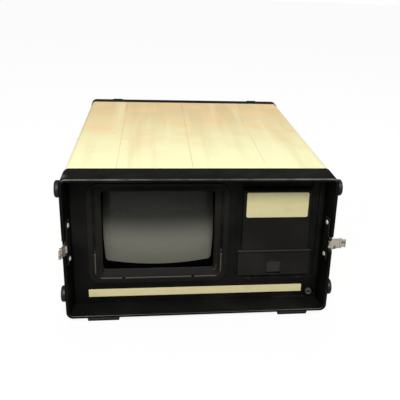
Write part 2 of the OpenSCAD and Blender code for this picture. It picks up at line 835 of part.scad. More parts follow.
module bay_panel() {
    face = recess_d + seat_gap;
    top_w = bay_panel_w - 2 * bay_panel_rim;
    color(black_plastic) at_case() translate([bay_x, 0, 0]) difference() {
        translate([0, 0, bay_panel_z0]) linear_extrude(bay_panel_z1 - bay_panel_z0) polygon([
            [-bay_panel_w / 2, bay_floor_y - seat_gap / 2], [-bay_panel_w / 2, face + bay_panel_rim],
            [-top_w / 2, face], [top_w / 2, face],
            [bay_panel_w / 2, face + bay_panel_rim], [bay_panel_w / 2, bay_floor_y - seat_gap / 2]
        ]);
        translate([0, 0, plate_z]) along_y(0, plate_back_y)
            rounded(plate_w + 2 * seat_gap, plate_h + 2 * seat_gap, 3);
    }
}

module name_plate() {
    back = plate_back_y - seat_gap / 4;
    color(khaki_plate) at_case() translate([bay_x, 0, plate_z]) along_y(back - plate_t, back)
        rounded(plate_w, plate_h, 2.8);
}

module drive_flap() {
    y0 = hinge_y - 1.2;
    scoop_z = flap_z0 + 16;
    scoop_d = 1.7;
    slot_low = flap_z0 + 2;
    slot_high = flap_z0 + 4.6;
    color(black_plastic) at_case() translate([bay_x, 0, 0]) difference() {
        union() {
            block([-flap_w / 2, y0, flap_z0], [flap_w / 2, y0 + flap_t, hinge_z]);
            translate([0, hinge_y, hinge_z]) rod_x(2 * barrel_r, -flap_w / 2, flap_w / 2);
        }
        translate([0, hinge_y, hinge_z]) rod_x(flap_pin_d + 2 * run_gap, -flap_w, flap_w);
        translate([0, 0, scoop_z]) rod_y(scoop_w, y0 - tool_past, y0 + scoop_d);
        block([-scoop_w / 2, y0 - tool_past, slot_high - eps], [scoop_w / 2, y0 + scoop_d, scoop_z]);
        block([-0.4 * scoop_w, y0 - tool_past, slot_low], [0.4 * scoop_w, y0 + flap_t + tool_past, slot_high]);
    }
}

module flap_pin() {
    pin_half = flap_w / 2 + lug_gap + lug_t;
    color(steel_zinc) at_case() translate([bay_x, hinge_y, hinge_z])
        rod_x(flap_pin_d, -pin_half, pin_half);
}

module disk_drive() {
    body_y = drive_y + drive_front_t;
    thumb_w = 24;
    thumb_h = 12;
    thumb_d = 2.2;
    color(dark_steel) at_case() translate([bay_x, 0, window_z]) difference() {
        union() {
            block([-drive_w / 2, drive_y, -drive_h / 2], [drive_w / 2, body_y, drive_h / 2]);
            block(
                [-drive_body_w / 2, body_y - eps, -drive_body_h / 2],
                [drive_body_w / 2, drive_y + drive_len, drive_body_h / 2]
            );
        }
        translate([0, drive_y - tool_past, disk_z - window_z])
            slot_tray(disk_w, disk_slot_h, disk_deep + tool_past);
        translate([0, drive_y - tool_past, disk_z - window_z])
            slot_tray(thumb_w, thumb_h, thumb_d + tool_past);
        translate([button_x - bay_x, drive_y - tool_past, button_z - window_z]) slot_tray(
            button_w + 2 * move_gap, button_h + 2 * move_gap,
            button_back_y + eject_travel + move_gap - drive_y + tool_past
        );
        translate([button_x - bay_x, 0, button_z - window_z])
            rod_y(stem_d + 2 * run_gap, drive_y, button_back_y + stem_len + eject_travel + move_gap);
        for (s = [-1, 1], i = [0 : 2]) translate([s * drive_body_w / 2, drive_y + 35 + i * 40, -6])
            rod_x(2.6, -4, 4);
    }
}

module drive_cradle() {
    wall = 1.5;
    lip = 16;
    foot = 12;
    foot_x = 40;
    half = drive_body_w / 2 + seat_gap;
    low = window_z - drive_body_h / 2 - seat_gap;
    y0 = drive_y + 8;
    y1 = drive_y + drive_len - 8;
    color(steel_zinc) at_case() translate([bay_x, 0, 0]) difference() {
        union() {
            block([-half - wall, y0, low - wall], [half + wall, y1, low + lip]);
            for (s = [-1, 1], y = [y0 + 18, y1 - 32]) translate([s * foot_x, y, 0])
                block([-foot / 2, 0, tray_z + tray_t + seat_gap], [foot / 2, foot, low - wall + eps]);
        }
        block([-half, 0, low], [half, case_d, case_h]);
    }
}

module eject_button() {
    front_y = bay_floor_y + 1.2;
    groove = 0.7;
    groove_step = 1.8;
    color(black_plastic) at_case() translate([button_x, 0, button_z]) difference() {
        union() {
            block([-button_w / 2, front_y, -button_h / 2], [button_w / 2, button_back_y, button_h / 2]);
            rod_y(stem_d, button_back_y - eps, button_back_y + stem_len);
        }
        for (i = [-1 : 1]) translate([0, front_y, i * groove_step])
            cube([button_w - 3, groove, groove], center = true);
    }
}

module trim_strip() {
    strip_t = 1.6;
    strip_x = -2.25;
    color(khaki_plate) at_case() translate([strip_x, 0, strip_z]) along_y(recess_d - strip_t, recess_d)
        rounded(strip_w, strip_h, 0.8);
}

// Knurled rim by shallow flutes, a dished face and a bore for the control's shaft
module brightness_knob() {
    knob_y0 = recess_d - 1.5;
    knob_y1 = recess_d + well_depth - 1.2;
    knob_len = knob_y1 - knob_y0;
    knob_r = knob_d / 2;
    flutes = 18;
    color([0.42, 0.42, 0.40]) at_case() translate([knob_x, 0, knob_z]) difference() {
        rotate([-90, 0, 0]) translate([0, 0, knob_y0]) rotate_extrude() polygon([
            [0, 1.6], [knob_r - 3.8, 1.6], [knob_r - 3.1, 0.4], [knob_r - 2.4, 0], [knob_r - 0.9, 0],
            [knob_r - 0.2, 0.7], [knob_r, knob_len], [0, knob_len]
        ]);
        for (i = [0 : flutes - 1]) rotate([0, i * 360 / flutes, 0]) translate([knob_r + 0.25, 0, 0])
            rod_y(1, knob_y0 + 2.4, knob_y1 + tool_past);
        rod_y(shaft_d + 2 * run_gap, knob_y0 + 3, knob_y1 + tool_past);
    }
}

module brightness_control() {
    bush_d = 7;
    can_d = 15;
    can_t = 9;
    drop = 1.5;
    well_y = recess_d + well_depth;
    color(steel_zinc) at_case() translate([knob_x, 0, knob_z]) {
        rod_y(shaft_d, recess_d + 3.2, well_y + 4);
        rod_y(bush_d, well_y - 0.6, well_y + 4);
        translate([-drop, 0, 0]) rod_y(can_d, well_y + well_wall + seat_gap, well_y + well_wall + can_t);
        translate([-drop, 0, 0]) block([-bush_d, well_y + 4, can_d / 3], [bush_d, well_y + 5.6, can_d - 1]);
    }
}

// Riveted plate on the recess wall, with the outer knuckles of the lever's hinge
module latch_base() {
    half = rivet_pitch / 2 + 8;
    tongue = 10;
    plate_d = 16;
    at_side_wall() difference() {
        union() {
            translate([0, 0, latch_z + rivet_rise])
                block([-latch_t - seat_gap, tongue - 1, -half], [-seat_gap, tongue - 1 + plate_d, half]);
            block(
                [-latch_t - seat_gap, lever_y + knuckle_r + move_gap, latch_z - lever_w / 2 - 1],
                [-seat_gap, tongue, latch_z + lever_w / 2 + 1]
            );
        }
        translate([0, rivet_y, 0]) rivet_places() rod_x(rivet_d, -rim_t, rim_t);
    }
    for (s = [-1, 1]) translate([lever_x, lever_y, latch_z + s * (lever_w / 2 - knuckle_h / 2 + 1)])
        difference() {
        union() {
            cylinder(r = knuckle_r, h = knuckle_h, center = true);
            translate([-latch_t / 2, 0, -knuckle_h / 2])
                cube([latch_t, knuckle_r + move_gap + 1.4, knuckle_h]);
        }
        cylinder(r = latch_hole, h = 2 * knuckle_h, center = true);
    }
}

module latch_base_left() {
    color(dark_steel) at_case() mirror([1, 0, 0]) latch_base();
}

module latch_base_right() {
    color(dark_steel) at_case() latch_base();
}

// Turns a closed latch, which points to the front from its pin, to its resting angle
module at_lever(angle) {
    translate([lever_x, lever_y, latch_z]) rotate([0, 0, angle]) children();
}

// Middle knuckle on the base's pin, a tapering plate and two outer knuckles for the claw
module latch_lever() {
    mid_h = lever_w - 2 * knuckle_h + 2 - 2 * move_gap;
    reach = knuckle_r + move_gap;
    difference() {
        union() {
            cylinder(r = knuckle_r, h = mid_h, center = true);
            translate([-latch_t / 2, -reach - eps, -mid_h / 2]) cube([latch_t, reach + eps, mid_h]);
            along_x(-latch_t / 2, latch_t / 2) polygon([
                [-reach, -lever_w / 2], [-reach, lever_w / 2],
                [-lever_len + reach, claw_rise + claw_end_w / 2],
                [-lever_len + reach, claw_rise - claw_end_w / 2]
            ]);
            for (s = [-1, 1]) translate([0, -lever_len, claw_rise + s * (claw_end_w - claw_knuckle) / 2]) {
                cylinder(r = knuckle_r, h = claw_knuckle, center = true);
                translate([-latch_t / 2, 0, -claw_knuckle / 2]) cube([latch_t, reach + eps, claw_knuckle]);
            }
        }
        cylinder(r = latch_hole, h = lever_w, center = true);
        translate([0, -lever_len, 0]) cylinder(r = latch_hole, h = 2 * lever_w, center = true);
    }
}

// Hooked plate on the lever's second pin
module latch_claw() {
    mid_h = claw_end_w - 2 * claw_knuckle - 2 * move_gap;
    reach = knuckle_r + move_gap;
    translate([0, -lever_len, claw_rise]) difference() {
        union() {
            cylinder(r = knuckle_r, h = mid_h, center = true);
            translate([-latch_t / 2, -reach - eps, -mid_h / 2]) cube([latch_t, reach + eps, mid_h]);
            block([-latch_t / 2, -claw_len, -claw_w / 2], [latch_t / 2, -reach, claw_w / 2]);
            block([-claw_lip, -claw_len, -claw_w / 2], [latch_t / 2, -claw_len + latch_t, claw_w / 2]);
        }
        cylinder(r = latch_hole, h = lever_w, center = true);
    }
}

module latch_lever_left() {
    color(nickel) at_case() mirror([1, 0, 0]) at_lever(left_open) latch_lever();
}

module latch_lever_right() {
    color(nickel) at_case() at_lever(right_open) latch_lever();
}

module latch_claw_left() {
    color(nickel) at_case() mirror([1, 0, 0]) at_lever(left_open) latch_claw();
}

module latch_claw_right() {
    color(nickel) at_case() at_lever(right_open) latch_claw();
}

module lever_pin() {
    cylinder(d = latch_pin_d, h = lever_w + 2, center = true);
}

module claw_pin() {
    translate([0, -lever_len, claw_rise]) cylinder(d = latch_pin_d, h = claw_end_w, center = true);
}

module lever_pin_left() {
    color(nickel) at_case() mirror([1, 0, 0]) at_lever(left_open) lever_pin();
}

module lever_pin_right() {
    color(nickel) at_case() at_lever(right_open) lever_pin();
}

module claw_pin_left() {
    color(nickel) at_case() mirror([1, 0, 0]) at_lever(left_open) claw_pin();
}

module claw_pin_right() {
    color(nickel) at_case() at_lever(right_open) claw_pin();
}

// Tubular rivets with a flared head inside the recess and a set head outside
module latch_rivets() {
    color(nickel) at_case() both_sides() at_side_wall() translate([0, rivet_y, 0]) rivet_places()
        rotate([0, 90, 0]) translate([0, 0, -latch_t - seat_gap - 1.6]) difference() {
            union() {
                cylinder(d = rivet_d - 2 * run_gap, h = rim_t + latch_t + 3.4);
                rotate_extrude() polygon([
                    [1.4, 0], [3.1, 0], [3.9, 0.6], [4.1, 1.4], [4.1, 1.55], [1.4, 1.55]
                ]);
            }
            translate([0, 0, -tool_past]) cylinder(d = 2.9, h = 2 * case_h);
        }
}

// Rubber disc with a rounded edge and a counterbored screw hole
module bumper() {
    edge = 3;
    seat = 3;
    head_d = 9;
    rotate([0, 90, 0]) difference() {
        rotate_extrude() union() {
            translate([0, 0.05]) square([bumper_d / 2, bumper_h - edge - 0.05]);
            square([bumper_d / 2 - edge, bumper_h]);
            translate([bumper_d / 2 - edge, bumper_h - edge]) circle(edge);
        }
        translate([0, 0, seat]) cylinder(d = head_d, h = bumper_h);
        cylinder(r = screw_d / 2 + run_gap, h = 4 * bumper_h, center = true);
    }
}

module right_bumpers() {
    color(black_rubber) at_case() at_bumpers() bumper();
}

module left_bumpers() {
    color(black_rubber) at_case() mirror([1, 0, 0]) at_bumpers() bumper();
}

module bumper_screws() {
    head_d = 8;
    head_x = 3 + run_gap;
    head_t = 2.6;
    color(steel_zinc) at_case() both_sides() at_bumpers() difference() {
        union() {
            rod_x(screw_d - 2 * run_gap, -screw_grip, head_x + 1);
            rod_x(head_d, head_x, head_x + head_t);
        }
        translate([head_x + head_t, 0, 0]) cube([2.2, 0.7 * head_d, 1.2], center = true);
    }
}

module foot() {
    lip = 1.8;
    taper = 0.8;
    groove = [foot_w - 6, 0.9, 2.8];
    groove_step = 2.6;
    difference() {
        union() {
            block([-foot_w / 2, 0, -lip], [foot_w / 2, foot_d, -seat_gap / 4]);
            block([-foot_w / 2 + taper, taper, -foot_h], [foot_w / 2 - taper, foot_d - taper, -lip + eps]);
        }
        for (i = [-2 : 2]) translate([0, foot_d / 2 + i * groove_step, -foot_h])
            cube(groove, center = true);
    }
}

module front_feet() {
    foot_y = 1.5;
    color(black_rubber) at_case() for (s = [-1, 1]) translate([s * foot_pitch / 2, foot_y, 0]) foot();
}

module back_feet() {
    foot_y = case_d - foot_d - edge_r;
    color(black_rubber) at_case() for (s = [-1, 1]) translate([s * foot_pitch / 2, foot_y, 0]) foot();
}

// Rubber posts on the rear rim, which the case stands on when it is set on its back
module rear_posts() {
    tall = 9;
    inset = 0.6;
    hollow_d = 4.6;
    color(black_rubber) at_case()
        for (sx = [-1, 1], z = [tall / 2 + inset, case_h - tall / 2 - inset])
            translate([sx * foot_pitch / 2, case_d + seat_gap / 2, z]) difference() {
                along_y(0, post_h - seat_gap / 2) rounded(post_w, tall, 3);
                rod_y(hollow_d, 3, 2 * post_h);
            }
}

// Bail with two arms, a round grip with finger ribs and pivot bosses
module handle() {
    arm_w = 13;
    arm_y = handle_len / 2 - arm_w / 2;
    rib_w = 2.4;
    rib_step = 6;
    ribs = 9;
    color(black_plastic) at_case() translate([handle_axis_x, handle_y, handle_z]) difference() {
        union() {
            for (s = [-1, 1]) translate([0, s * arm_y, 0]) {
                rod_y(grip_d, -arm_w / 2, arm_w / 2);
                block([-grip_d / 2, -arm_w / 2, -handle_reach], [grip_d / 2 - 2, arm_w / 2, 0]);
            }
            translate([0, 0, -handle_reach]) rod_y(grip_d, -handle_len / 2, handle_len / 2);
            for (i = [-ribs : ribs]) translate([0, i * rib_step, -handle_reach])
                rod_y(grip_d + 1, -rib_w / 2, rib_w / 2);
        }
        rod_y(handle_pin_d + 2 * run_gap, -handle_len, handle_len);
    }
}

// Pivot blocks on the right side, outside the handle's arms
module handle_brackets() {
    base_x = half_w - cover_inset;
    bolt_y = 4;
    bolt_z = 9.5;
    color(black_plastic) at_case() for (s = [-1, 1])
        translate([0, handle_y + s * (handle_len / 2 + move_gap + bracket_w / 2), handle_z]) difference() {
            union() {
                block(
                    [base_x + seat_gap / 2, -bracket_w / 2, -bracket_h / 2],
                    [handle_axis_x, bracket_w / 2, bracket_h / 2]
                );
                translate([handle_axis_x, 0, 0]) rod_y(grip_d, -bracket_w / 2, bracket_w / 2);
            }
            translate([handle_axis_x, 0, 0])
                rod_y(handle_pin_d + 2 * run_gap, -bracket_w, bracket_w);
            for (z = [-1, 1]) translate([0, s * bolt_y, z * bolt_z])
                rod_x(screw_d, base_x - tool_past, case_w);
        }
}

module handle_pins() {
    arm_hold = 11.5;
    color(steel_zinc) at_case() for (s = [-1, 1]) translate([handle_axis_x, handle_y, handle_z])
        rotate([0, 0, s * 90 - 90]) rod_y(
            handle_pin_d, handle_len / 2 - arm_hold, handle_len / 2 + move_gap + bracket_w - 1
        );
}

module at_fan_holes() {
    for (sx = [-1, 1], sz = [-1, 1])
        translate([sx * fan_screw_pitch / 2, 0, sz * fan_screw_pitch / 2]) children();
}

panel_back_y = rear_panel_y + rear_panel_t;
plug_x = 150;
plug_z = 52;
plug_wall = 1.7;
inlet_body_w = inlet_w + 2 * plug_wall;
inlet_body_h = inlet_h + 2 * plug_wall;
inlet_flange_w = inlet_w + 26;
inlet_screw_x = inlet_w / 2 + 8;
switch_z = 100;
port_z = 52;
port_h = 8.4;
inlet_screw_d = 3.4;
switch_wall = 2.3;
port_slant = 1.6;
serial_x = 20;
printer_x = -80;
rocker_pin_y = panel_back_y - 4;
rocker_pin_d = 3;
rocker_pin_half = rocker_w / 2 + 1.4;
rocker_tilt = 10;
rocker_crown_r = 41;
rocker_top = 7;
rocker_room = rocker_h / 2 * cos(rocker_tilt) + rocker_top * sin(rocker_tilt) + move_gap;
switch_body_w = rocker_w + 2 * move_gap + 2 * switch_wall;
switch_body_h = 2 * rocker_room + 2 * switch_wall;

module rear_panel() {
    slot_w = 3;
    slot_l = 70;
    slot_step = 8;
    slots = 10;
    color(dark_steel) at_case() difference() {
        translate([0, 0, mid_z]) along_y(rear_panel_y, panel_back_y)
            rounded(mouth_w - 2 - 2 * seat_gap, mouth_h - 2 - 2 * seat_gap, mouth_r);
        translate([fan_x, 0, fan_z]) rod_y(fan_bore_d - 1, 0, 2 * case_d);
        translate([fan_x, 0, fan_z]) at_fan_holes() rod_y(fan_hole_d, 0, 2 * case_d);
        for (i = [0 : slots - 1]) translate([serial_x + i * slot_step, 0, mid_z + 45])
            slot_tray(slot_w, slot_l, 2 * case_d);
        translate([plug_x, 0, plug_z])
            slot_tray(inlet_body_w + 2 * seat_gap, inlet_body_h + 2 * seat_gap, 2 * case_d);
        translate([plug_x, 0, plug_z]) at_inlet_screws() rod_y(inlet_screw_d, 0, 2 * case_d);
        translate([plug_x, 0, switch_z])
            slot_tray(switch_body_w + 2 * seat_gap, switch_body_h + 2 * seat_gap, 2 * case_d);
        for (p = [[serial_x, serial_w, serial_pitch], [printer_x, printer_w, printer_pitch]])
            translate([p[0], 0, port_z]) {
                slot_tray(p[1] + 4, port_h + 2.4, 2 * case_d);
                for (s = [-1, 1]) translate([s * p[2] / 2, 0, 0]) rod_y(post_bore + 0.46, 0, 2 * case_d);
            }
        at_panel_screws() rod_y(screw_d + 2 * seat_gap, 0, 2 * case_d);
    }
}

// Screw places on the inlet's flange
module at_inlet_screws() {
    for (s = [-1, 1]) translate([s * inlet_screw_x, 0, 0]) children();
}

module at_panel_screws() {
    for (sx = [-1, 0, 1], sz = [-1, 1])
        translate([sx * (mouth_w / 2 - 7), 0, mid_z + sz * (mouth_h / 2 - 6.5)]) children();
}

module panel_screws() {
    head_y = panel_back_y + seat_gap / 4;
    color(steel_zinc) at_case() at_panel_screws() difference() {
        union() {
            rod_y(screw_d - 2 * run_gap, rear_panel_y - 2 * screw_d, head_y + 0.5);
            translate([0, head_y, 0]) rotate([-90, 0, 0]) rotate_extrude()
                polygon([[0, 0], [3.8, 0], [3.6, 1.2], [2.4, 2.2], [0, 2.6]]);
        }
        translate([0, head_y + 2.5, 0]) cube([6, 2, 1], center = true);
    }
}

// Two square flanges joined by a round duct, with a hub on four struts for the rotor's shaft
module fan_frame() {
    flange_t = 3.6;
    duct_d = fan_w - 1;
    color(dark_steel) at_case() translate([fan_x, 0, fan_z]) difference() {
        union() {
            difference() {
                union() {
                    along_y(fan_y0, fan_y0 + flange_t) rounded(fan_w, fan_w, 4);
                    along_y(fan_y1 - flange_t, fan_y1) rounded(fan_w, fan_w, 4);
                    rod_y(duct_d, fan_y0 + 1, fan_y1 - 1);
                }
                rod_y(fan_bore_d, 0, case_d);
            }
            rod_y(fan_hub_d, fan_y0, fan_y0 + fan_strut_t);
            for (a = [45 : 90 : 315]) rotate([0, a, 0])
                block([10, fan_y0, -2.5], [(fan_bore_d + duct_d) / 4, fan_y0 + fan_strut_t, 2.5]);
            rod_y(fan_shaft_d, fan_y0, fan_y1 - 8);
        }
        at_fan_holes() rod_y(fan_hole_d, 0, 2 * case_d);
    }
}

// Hub with seven raked blades, on the frame's shaft
module fan_rotor() {
    blades = 7;
    rake = 38;
    rotor_r = fan_bore_d / 2 - 1.4;
    color(black_plastic) at_case() translate([fan_x, 0, fan_z]) difference() {
        union() {
            rod_y(fan_hub_d, fan_y0 + fan_strut_t + 0.6, fan_y1 - 2);
            for (i = [0 : blades - 1]) rotate([0, i * 360 / blades, 0]) intersection() {
                translate([rotor_r / 2, (fan_y0 + fan_y1) / 2 + 0.8, 0]) rotate([rake, 0, 0])
                    cube([rotor_r, 1.6, fan_t], center = true);
                rod_y(2 * rotor_r, fan_y0 + fan_strut_t + 1, fan_y1 - 3);
                block([10, 0, -fan_w / 2], [rotor_r, 2 * case_d, fan_w / 2]);
            }
        }
        rod_y(fan_shaft_d + 2 * run_gap, 0, fan_y1 - 7.4);
    }
}

module fan_guard() {
    wire = 2;
    rings = 4;
    first_r = 12;
    last_r = fan_bore_d / 2;
    spoke = norm([fan_screw_pitch, fan_screw_pitch]) / 2 - 2.6;
    y = panel_back_y + wire / 2 + seat_gap / 2;
    color(steel_zinc) at_case() translate([fan_x, 0, fan_z]) {
        translate([0, y, 0]) {
            for (i = [0 : rings - 1]) rotate([90, 0, 0]) rotate_extrude()
                translate([first_r + i * (last_r - first_r) / (rings - 1), 0]) circle(d = wire, $fn = 24);
            for (a = [45, 135]) rotate([0, a, 0]) translate([0, wire * 0.7, 0]) rod_x(wire, -spoke, spoke);
        }
        at_fan_holes() difference() {
            rod_y(9, y - wire / 2, y + wire * 0.7);
            rod_y(fan_hole_d, 0, 2 * case_d);
        }
    }
}

// Moulded inlet with a hollow for the mains lead and three blades
module mains_inlet() {
    hollow_d = 17;
    blade = [2, 14, 4];
    color(black_plastic) at_case() translate([plug_x, 0, plug_z]) {
        difference() {
            union() {
                along_y(panel_back_y + seat_gap / 4, panel_back_y + 3)
                    rounded(inlet_flange_w, inlet_body_h + 6.4, 3);
                translate([0, panel_back_y - hollow_d - 5, 0])
                    slot_tray(inlet_body_w, inlet_body_h, hollow_d + 6);
            }
            translate([0, panel_back_y - hollow_d, 0]) slot_tray(inlet_w, inlet_h, hollow_d + 4);
            at_inlet_screws() rod_y(inlet_screw_d, 0, 2 * case_d);
        }
        for (p = [[-7, -2], [0, 2], [7, -2]])
            translate([p[0], panel_back_y - hollow_d - eps + blade[1] / 2 - 1, p[1]])
                cube(blade, center = true);
    }
}

module power_switch() {
    color(black_plastic) at_case() translate([plug_x, 0, switch_z]) difference() {
        union() {
            along_y(panel_back_y + seat_gap / 4, panel_back_y + 2.2)
                rounded(switch_body_w + 3.4, switch_body_h + 4, 2);
            translate([0, panel_back_y - 20, 0]) slot_tray(switch_body_w, switch_body_h, 21);
        }
        translate([0, panel_back_y - 12, 0]) slot_tray(rocker_w + 2 * move_gap, 2 * rocker_room, 15);
        translate([0, rocker_pin_y, 0])
            rod_x(rocker_pin_d + 2 * run_gap, -rocker_pin_half - run_gap, rocker_pin_half + run_gap);
    }
}

// Rocker cap, tilted to its off side, with its own pivot pins
module power_rocker() {
    color(black_plastic) at_case() translate([plug_x, rocker_pin_y, switch_z]) rotate([rocker_tilt, 0, 0]) {
        intersection() {
            block([-rocker_w / 2, -3, -rocker_h / 2], [rocker_w / 2, rocker_top + 2, rocker_h / 2]);
            translate([0, rocker_top - rocker_crown_r, 0])
                rod_x(2 * rocker_crown_r, -rocker_w / 2, rocker_w / 2);
        }
        rod_x(rocker_pin_d, -rocker_pin_half, rocker_pin_half);
    }
}

// D-shaped connector: a flange behind the panel, a shell, two screw posts and rows of contact holes
module port(shell_w, pitch) {
    contact = 2.77;
    contact_d = 1.1;
    row_z = 1.42;
    across = floor(shell_w / 2 / contact) - 1;
    flange_y = rear_panel_y - seat_gap;
    front_y = panel_back_y + 5;
    difference() {
        union() {
            translate([0, flange_y - 2, 0]) slot_tray(pitch + 6.4, 12, 2);
            along_y(rear_panel_y - 10, front_y) polygon([
                [-shell_w / 2, port_h / 2], [shell_w / 2, port_h / 2],
                [shell_w / 2 - port_slant, -port_h / 2], [-shell_w / 2 + port_slant, -port_h / 2]
            ]);
            for (s = [-1, 1]) translate([s * pitch / 2, 0, 0]) {
                rod_y(post_bore + 0.16, flange_y - 1, panel_back_y + 1);
                along_y(panel_back_y + seat_gap / 4, front_y) circle(2.9, $fn = 6);
            }
        }
        for (s = [-1, 1]) translate([s * pitch / 2, 0, 0]) rod_y(post_bore, panel_back_y - 1, front_y + 1);
        for (i = [-across : across], r = [-1, 1])
            translate([(i + r / 4) * contact, 0, r * row_z]) rod_y(contact_d, front_y - 7, front_y + 1);
    }
}

module serial_port() {
    color(steel_zinc) at_case() translate([serial_x, 0, port_z]) port(serial_w, serial_pitch);
}

module printer_port() {
    color(steel_zinc) at_case() translate([printer_x, 0, port_z]) port(printer_w, printer_pitch);
}

module power_supply() {
    x0 = tray_w / 2 - 18 - psu_w;
    y0 = tray_y1 - psu_d - 45;
    z0 = tray_z + tray_t + seat_gap;
    slot = 3.6;
    slots = 12;
    slot_step = (psu_w - 30) / (slots - 1);
    color(steel_zinc) at_case() translate([x0, y0, z0]) difference() {
        cube([psu_w, psu_d, psu_h]);
        for (i = [0 : slots - 1]) translate([15 + i * slot_step, 0, 0]) {
            block([-slot / 2, -tool_past, psu_h * 0.2], [slot / 2, 3, psu_h * 0.7]);
            block([-slot / 2, psu_d * 0.2, psu_h - 3], [slot / 2, psu_d * 0.6, psu_h + tool_past]);
        }
    }
}

board_x0 = -tray_w / 2 + 14;
board_y0 = tray_y1 - board_d - 15;
board_z = tray_z + tray_t + pillar_h;
card_y = board_y0 + board_d - 12;
card_socket_h = 12;
card_socket_x0 = board_x0 + 30;
card_socket_w = 140;

// Rows of chips, each size [x, y, z], spaced by step
module chips(columns, rows, step, size) {
    for (i = [0 : columns - 1], j = [0 : rows - 1])
        translate([i * step[0], j * step[1], j * step[2]]) cube(size);
}

// Board on pillars with rows of chips and the card's socket
module main_board() {
    chip = [20, 8, 4];
    columns = floor((board_w - 20) / 33);
    rows = floor((board_d - 34) / 22);
    color(board_green) at_case() {
        translate([board_x0, board_y0, board_z]) cube([board_w, board_d, board_t]);
        translate([board_x0 + 18, board_y0 + 12, board_z + board_t - eps])
            chips(columns, rows, [33, 22, 0], chip);
        for (x = [6, board_w - 6], y = [6, board_d - 6])
            translate([board_x0 + x, board_y0 + y, tray_z + tray_t + seat_gap])
                cylinder(d = 7, h = pillar_h - seat_gap + eps);
        translate([card_socket_x0, card_y - 5, board_z + board_t - eps])
            cube([card_socket_w, 10, card_socket_h - board_t]);
    }
}

module processor_card() {
    chip = [22, 4, 9];
    color(board_green) at_case()
        translate([card_socket_x0 + 2, card_y - board_t / 2, board_z + card_socket_h + seat_gap]) {
            cube([card_socket_w - 4, board_t, card_h]);
            translate([10, -chip[1] + eps, 12]) chips(4, 3, [30, 0, (card_h - 32) / 2], chip);
        }
}

front_frame();
rear_frame();
top_cover();
bottom_cover();
chassis_tray();
tray_screws();
front_panel();
screen_bezel();
picture_tube();
tube_band();
tube_screws();
deflection_yoke();
neck_board();
bay_panel();
name_plate();
drive_flap();
flap_pin();
disk_drive();
drive_cradle();
eject_button();
trim_strip();
brightness_knob();
brightness_control();
latch_base_left();
latch_base_right();
latch_lever_left();
latch_lever_right();
latch_claw_left();
latch_claw_right();
lever_pin_left();
lever_pin_right();
claw_pin_left();
claw_pin_right();
latch_rivets();
left_bumpers();
right_bumpers();
bumper_screws();
front_feet();
back_feet();
rear_posts();
handle();
handle_brackets();
handle_pins();
rear_panel();
panel_screws();
fan_frame();
fan_rotor();
fan_guard();
mains_inlet();
power_switch();
power_rocker();
serial_port();
printer_port();
power_supply();
main_board();
processor_card();
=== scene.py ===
"""Looks of the luggable computer, built round its CAD frame."""

import json
import math

import bmesh
import bpy
from bpy.props import FloatProperty, FloatVectorProperty, IntProperty, PointerProperty
from mathutils import Matrix, Vector
from mathutils.bvhtree import BVHTree

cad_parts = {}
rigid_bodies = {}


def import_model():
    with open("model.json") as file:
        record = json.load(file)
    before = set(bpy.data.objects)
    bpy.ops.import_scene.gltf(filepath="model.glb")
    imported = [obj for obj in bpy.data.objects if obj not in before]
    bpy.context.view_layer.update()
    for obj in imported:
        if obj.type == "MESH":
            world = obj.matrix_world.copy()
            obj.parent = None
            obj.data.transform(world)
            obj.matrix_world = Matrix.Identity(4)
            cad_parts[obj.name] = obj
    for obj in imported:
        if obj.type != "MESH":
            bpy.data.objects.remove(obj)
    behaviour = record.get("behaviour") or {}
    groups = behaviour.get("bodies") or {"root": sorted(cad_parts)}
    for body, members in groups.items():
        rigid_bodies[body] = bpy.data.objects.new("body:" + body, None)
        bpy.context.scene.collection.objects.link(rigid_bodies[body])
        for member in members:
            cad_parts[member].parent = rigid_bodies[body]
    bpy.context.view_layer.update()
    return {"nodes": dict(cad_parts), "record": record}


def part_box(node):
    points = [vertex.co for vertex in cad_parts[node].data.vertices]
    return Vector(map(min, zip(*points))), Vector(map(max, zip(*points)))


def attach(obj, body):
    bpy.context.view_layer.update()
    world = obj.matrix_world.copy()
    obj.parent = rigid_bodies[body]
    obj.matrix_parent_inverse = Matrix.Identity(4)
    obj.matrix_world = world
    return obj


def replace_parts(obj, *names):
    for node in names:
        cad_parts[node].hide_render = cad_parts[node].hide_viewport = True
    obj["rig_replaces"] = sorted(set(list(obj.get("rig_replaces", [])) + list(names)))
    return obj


bl_info = {
    "name": "Luggable Computer Looks",
    "version": (1, 0, 0),
    "blender": (4, 5, 0),
    "location": "View3D > Sidebar > Luggable",
    "description": "Dresses the luggable computer's CAD frame with rounded pieces and worn finishes",
    "category": "Object",
}

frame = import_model()
MM = 0.001
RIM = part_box("front_frame")
HOME = Vector(((RIM[0].x + RIM[1].x) / 2, RIM[0].y, RIM[0].z))

# Places in millimetres from HOME: X to the right, Y to the rear, Z up
# Span of the front recess, whose walls are painted darker as shade
RECESS_SHADE_LOW = (-211.4, 2.5, 8.7)
RECESS_SHADE_HIGH = (211.4, 2.5, 236.2)
# Place of the painted highlight patch at the front frame's top-left corner
CORNER_HIGHLIGHT = (-218, 16, 243)
SCREEN_MID = (-68.6, 0, 135.295)
SCOOP_MID = (129.75, 39.8, 66.9)
COVER_GROOVES = (-136.5, -12.0, 112.5)
THROAT_Y = 44.6
# Heights in millimetres between which the picture tube's face darkens as painted shade
GLASS_SHADE_LOW = 104
GLASS_SHADE_HIGH = 162

# Half width, half height and width of square rings round the screen, in metres
# Rings of the bezel's groove: a painted highlight, a painted shadow, and painted shadow deep in the
# groove
GROOVE_HIGHLIGHT = (0.106, 0.08235, 0.0015)
GROOVE_SHADOW = (0.1078, 0.0842, 0.005)
GROOVE_PIT_SHADOW = (0.109, 0.085, 0.0055)

# Lumps a metre in the grain of the smoother plastics
FINE_GRAIN = 1800.0


def spot(x, y, z):
    """Place given in millimetres from the middle of the front rim's lower edge."""
    return HOME + Vector((x, y, z)) * MM


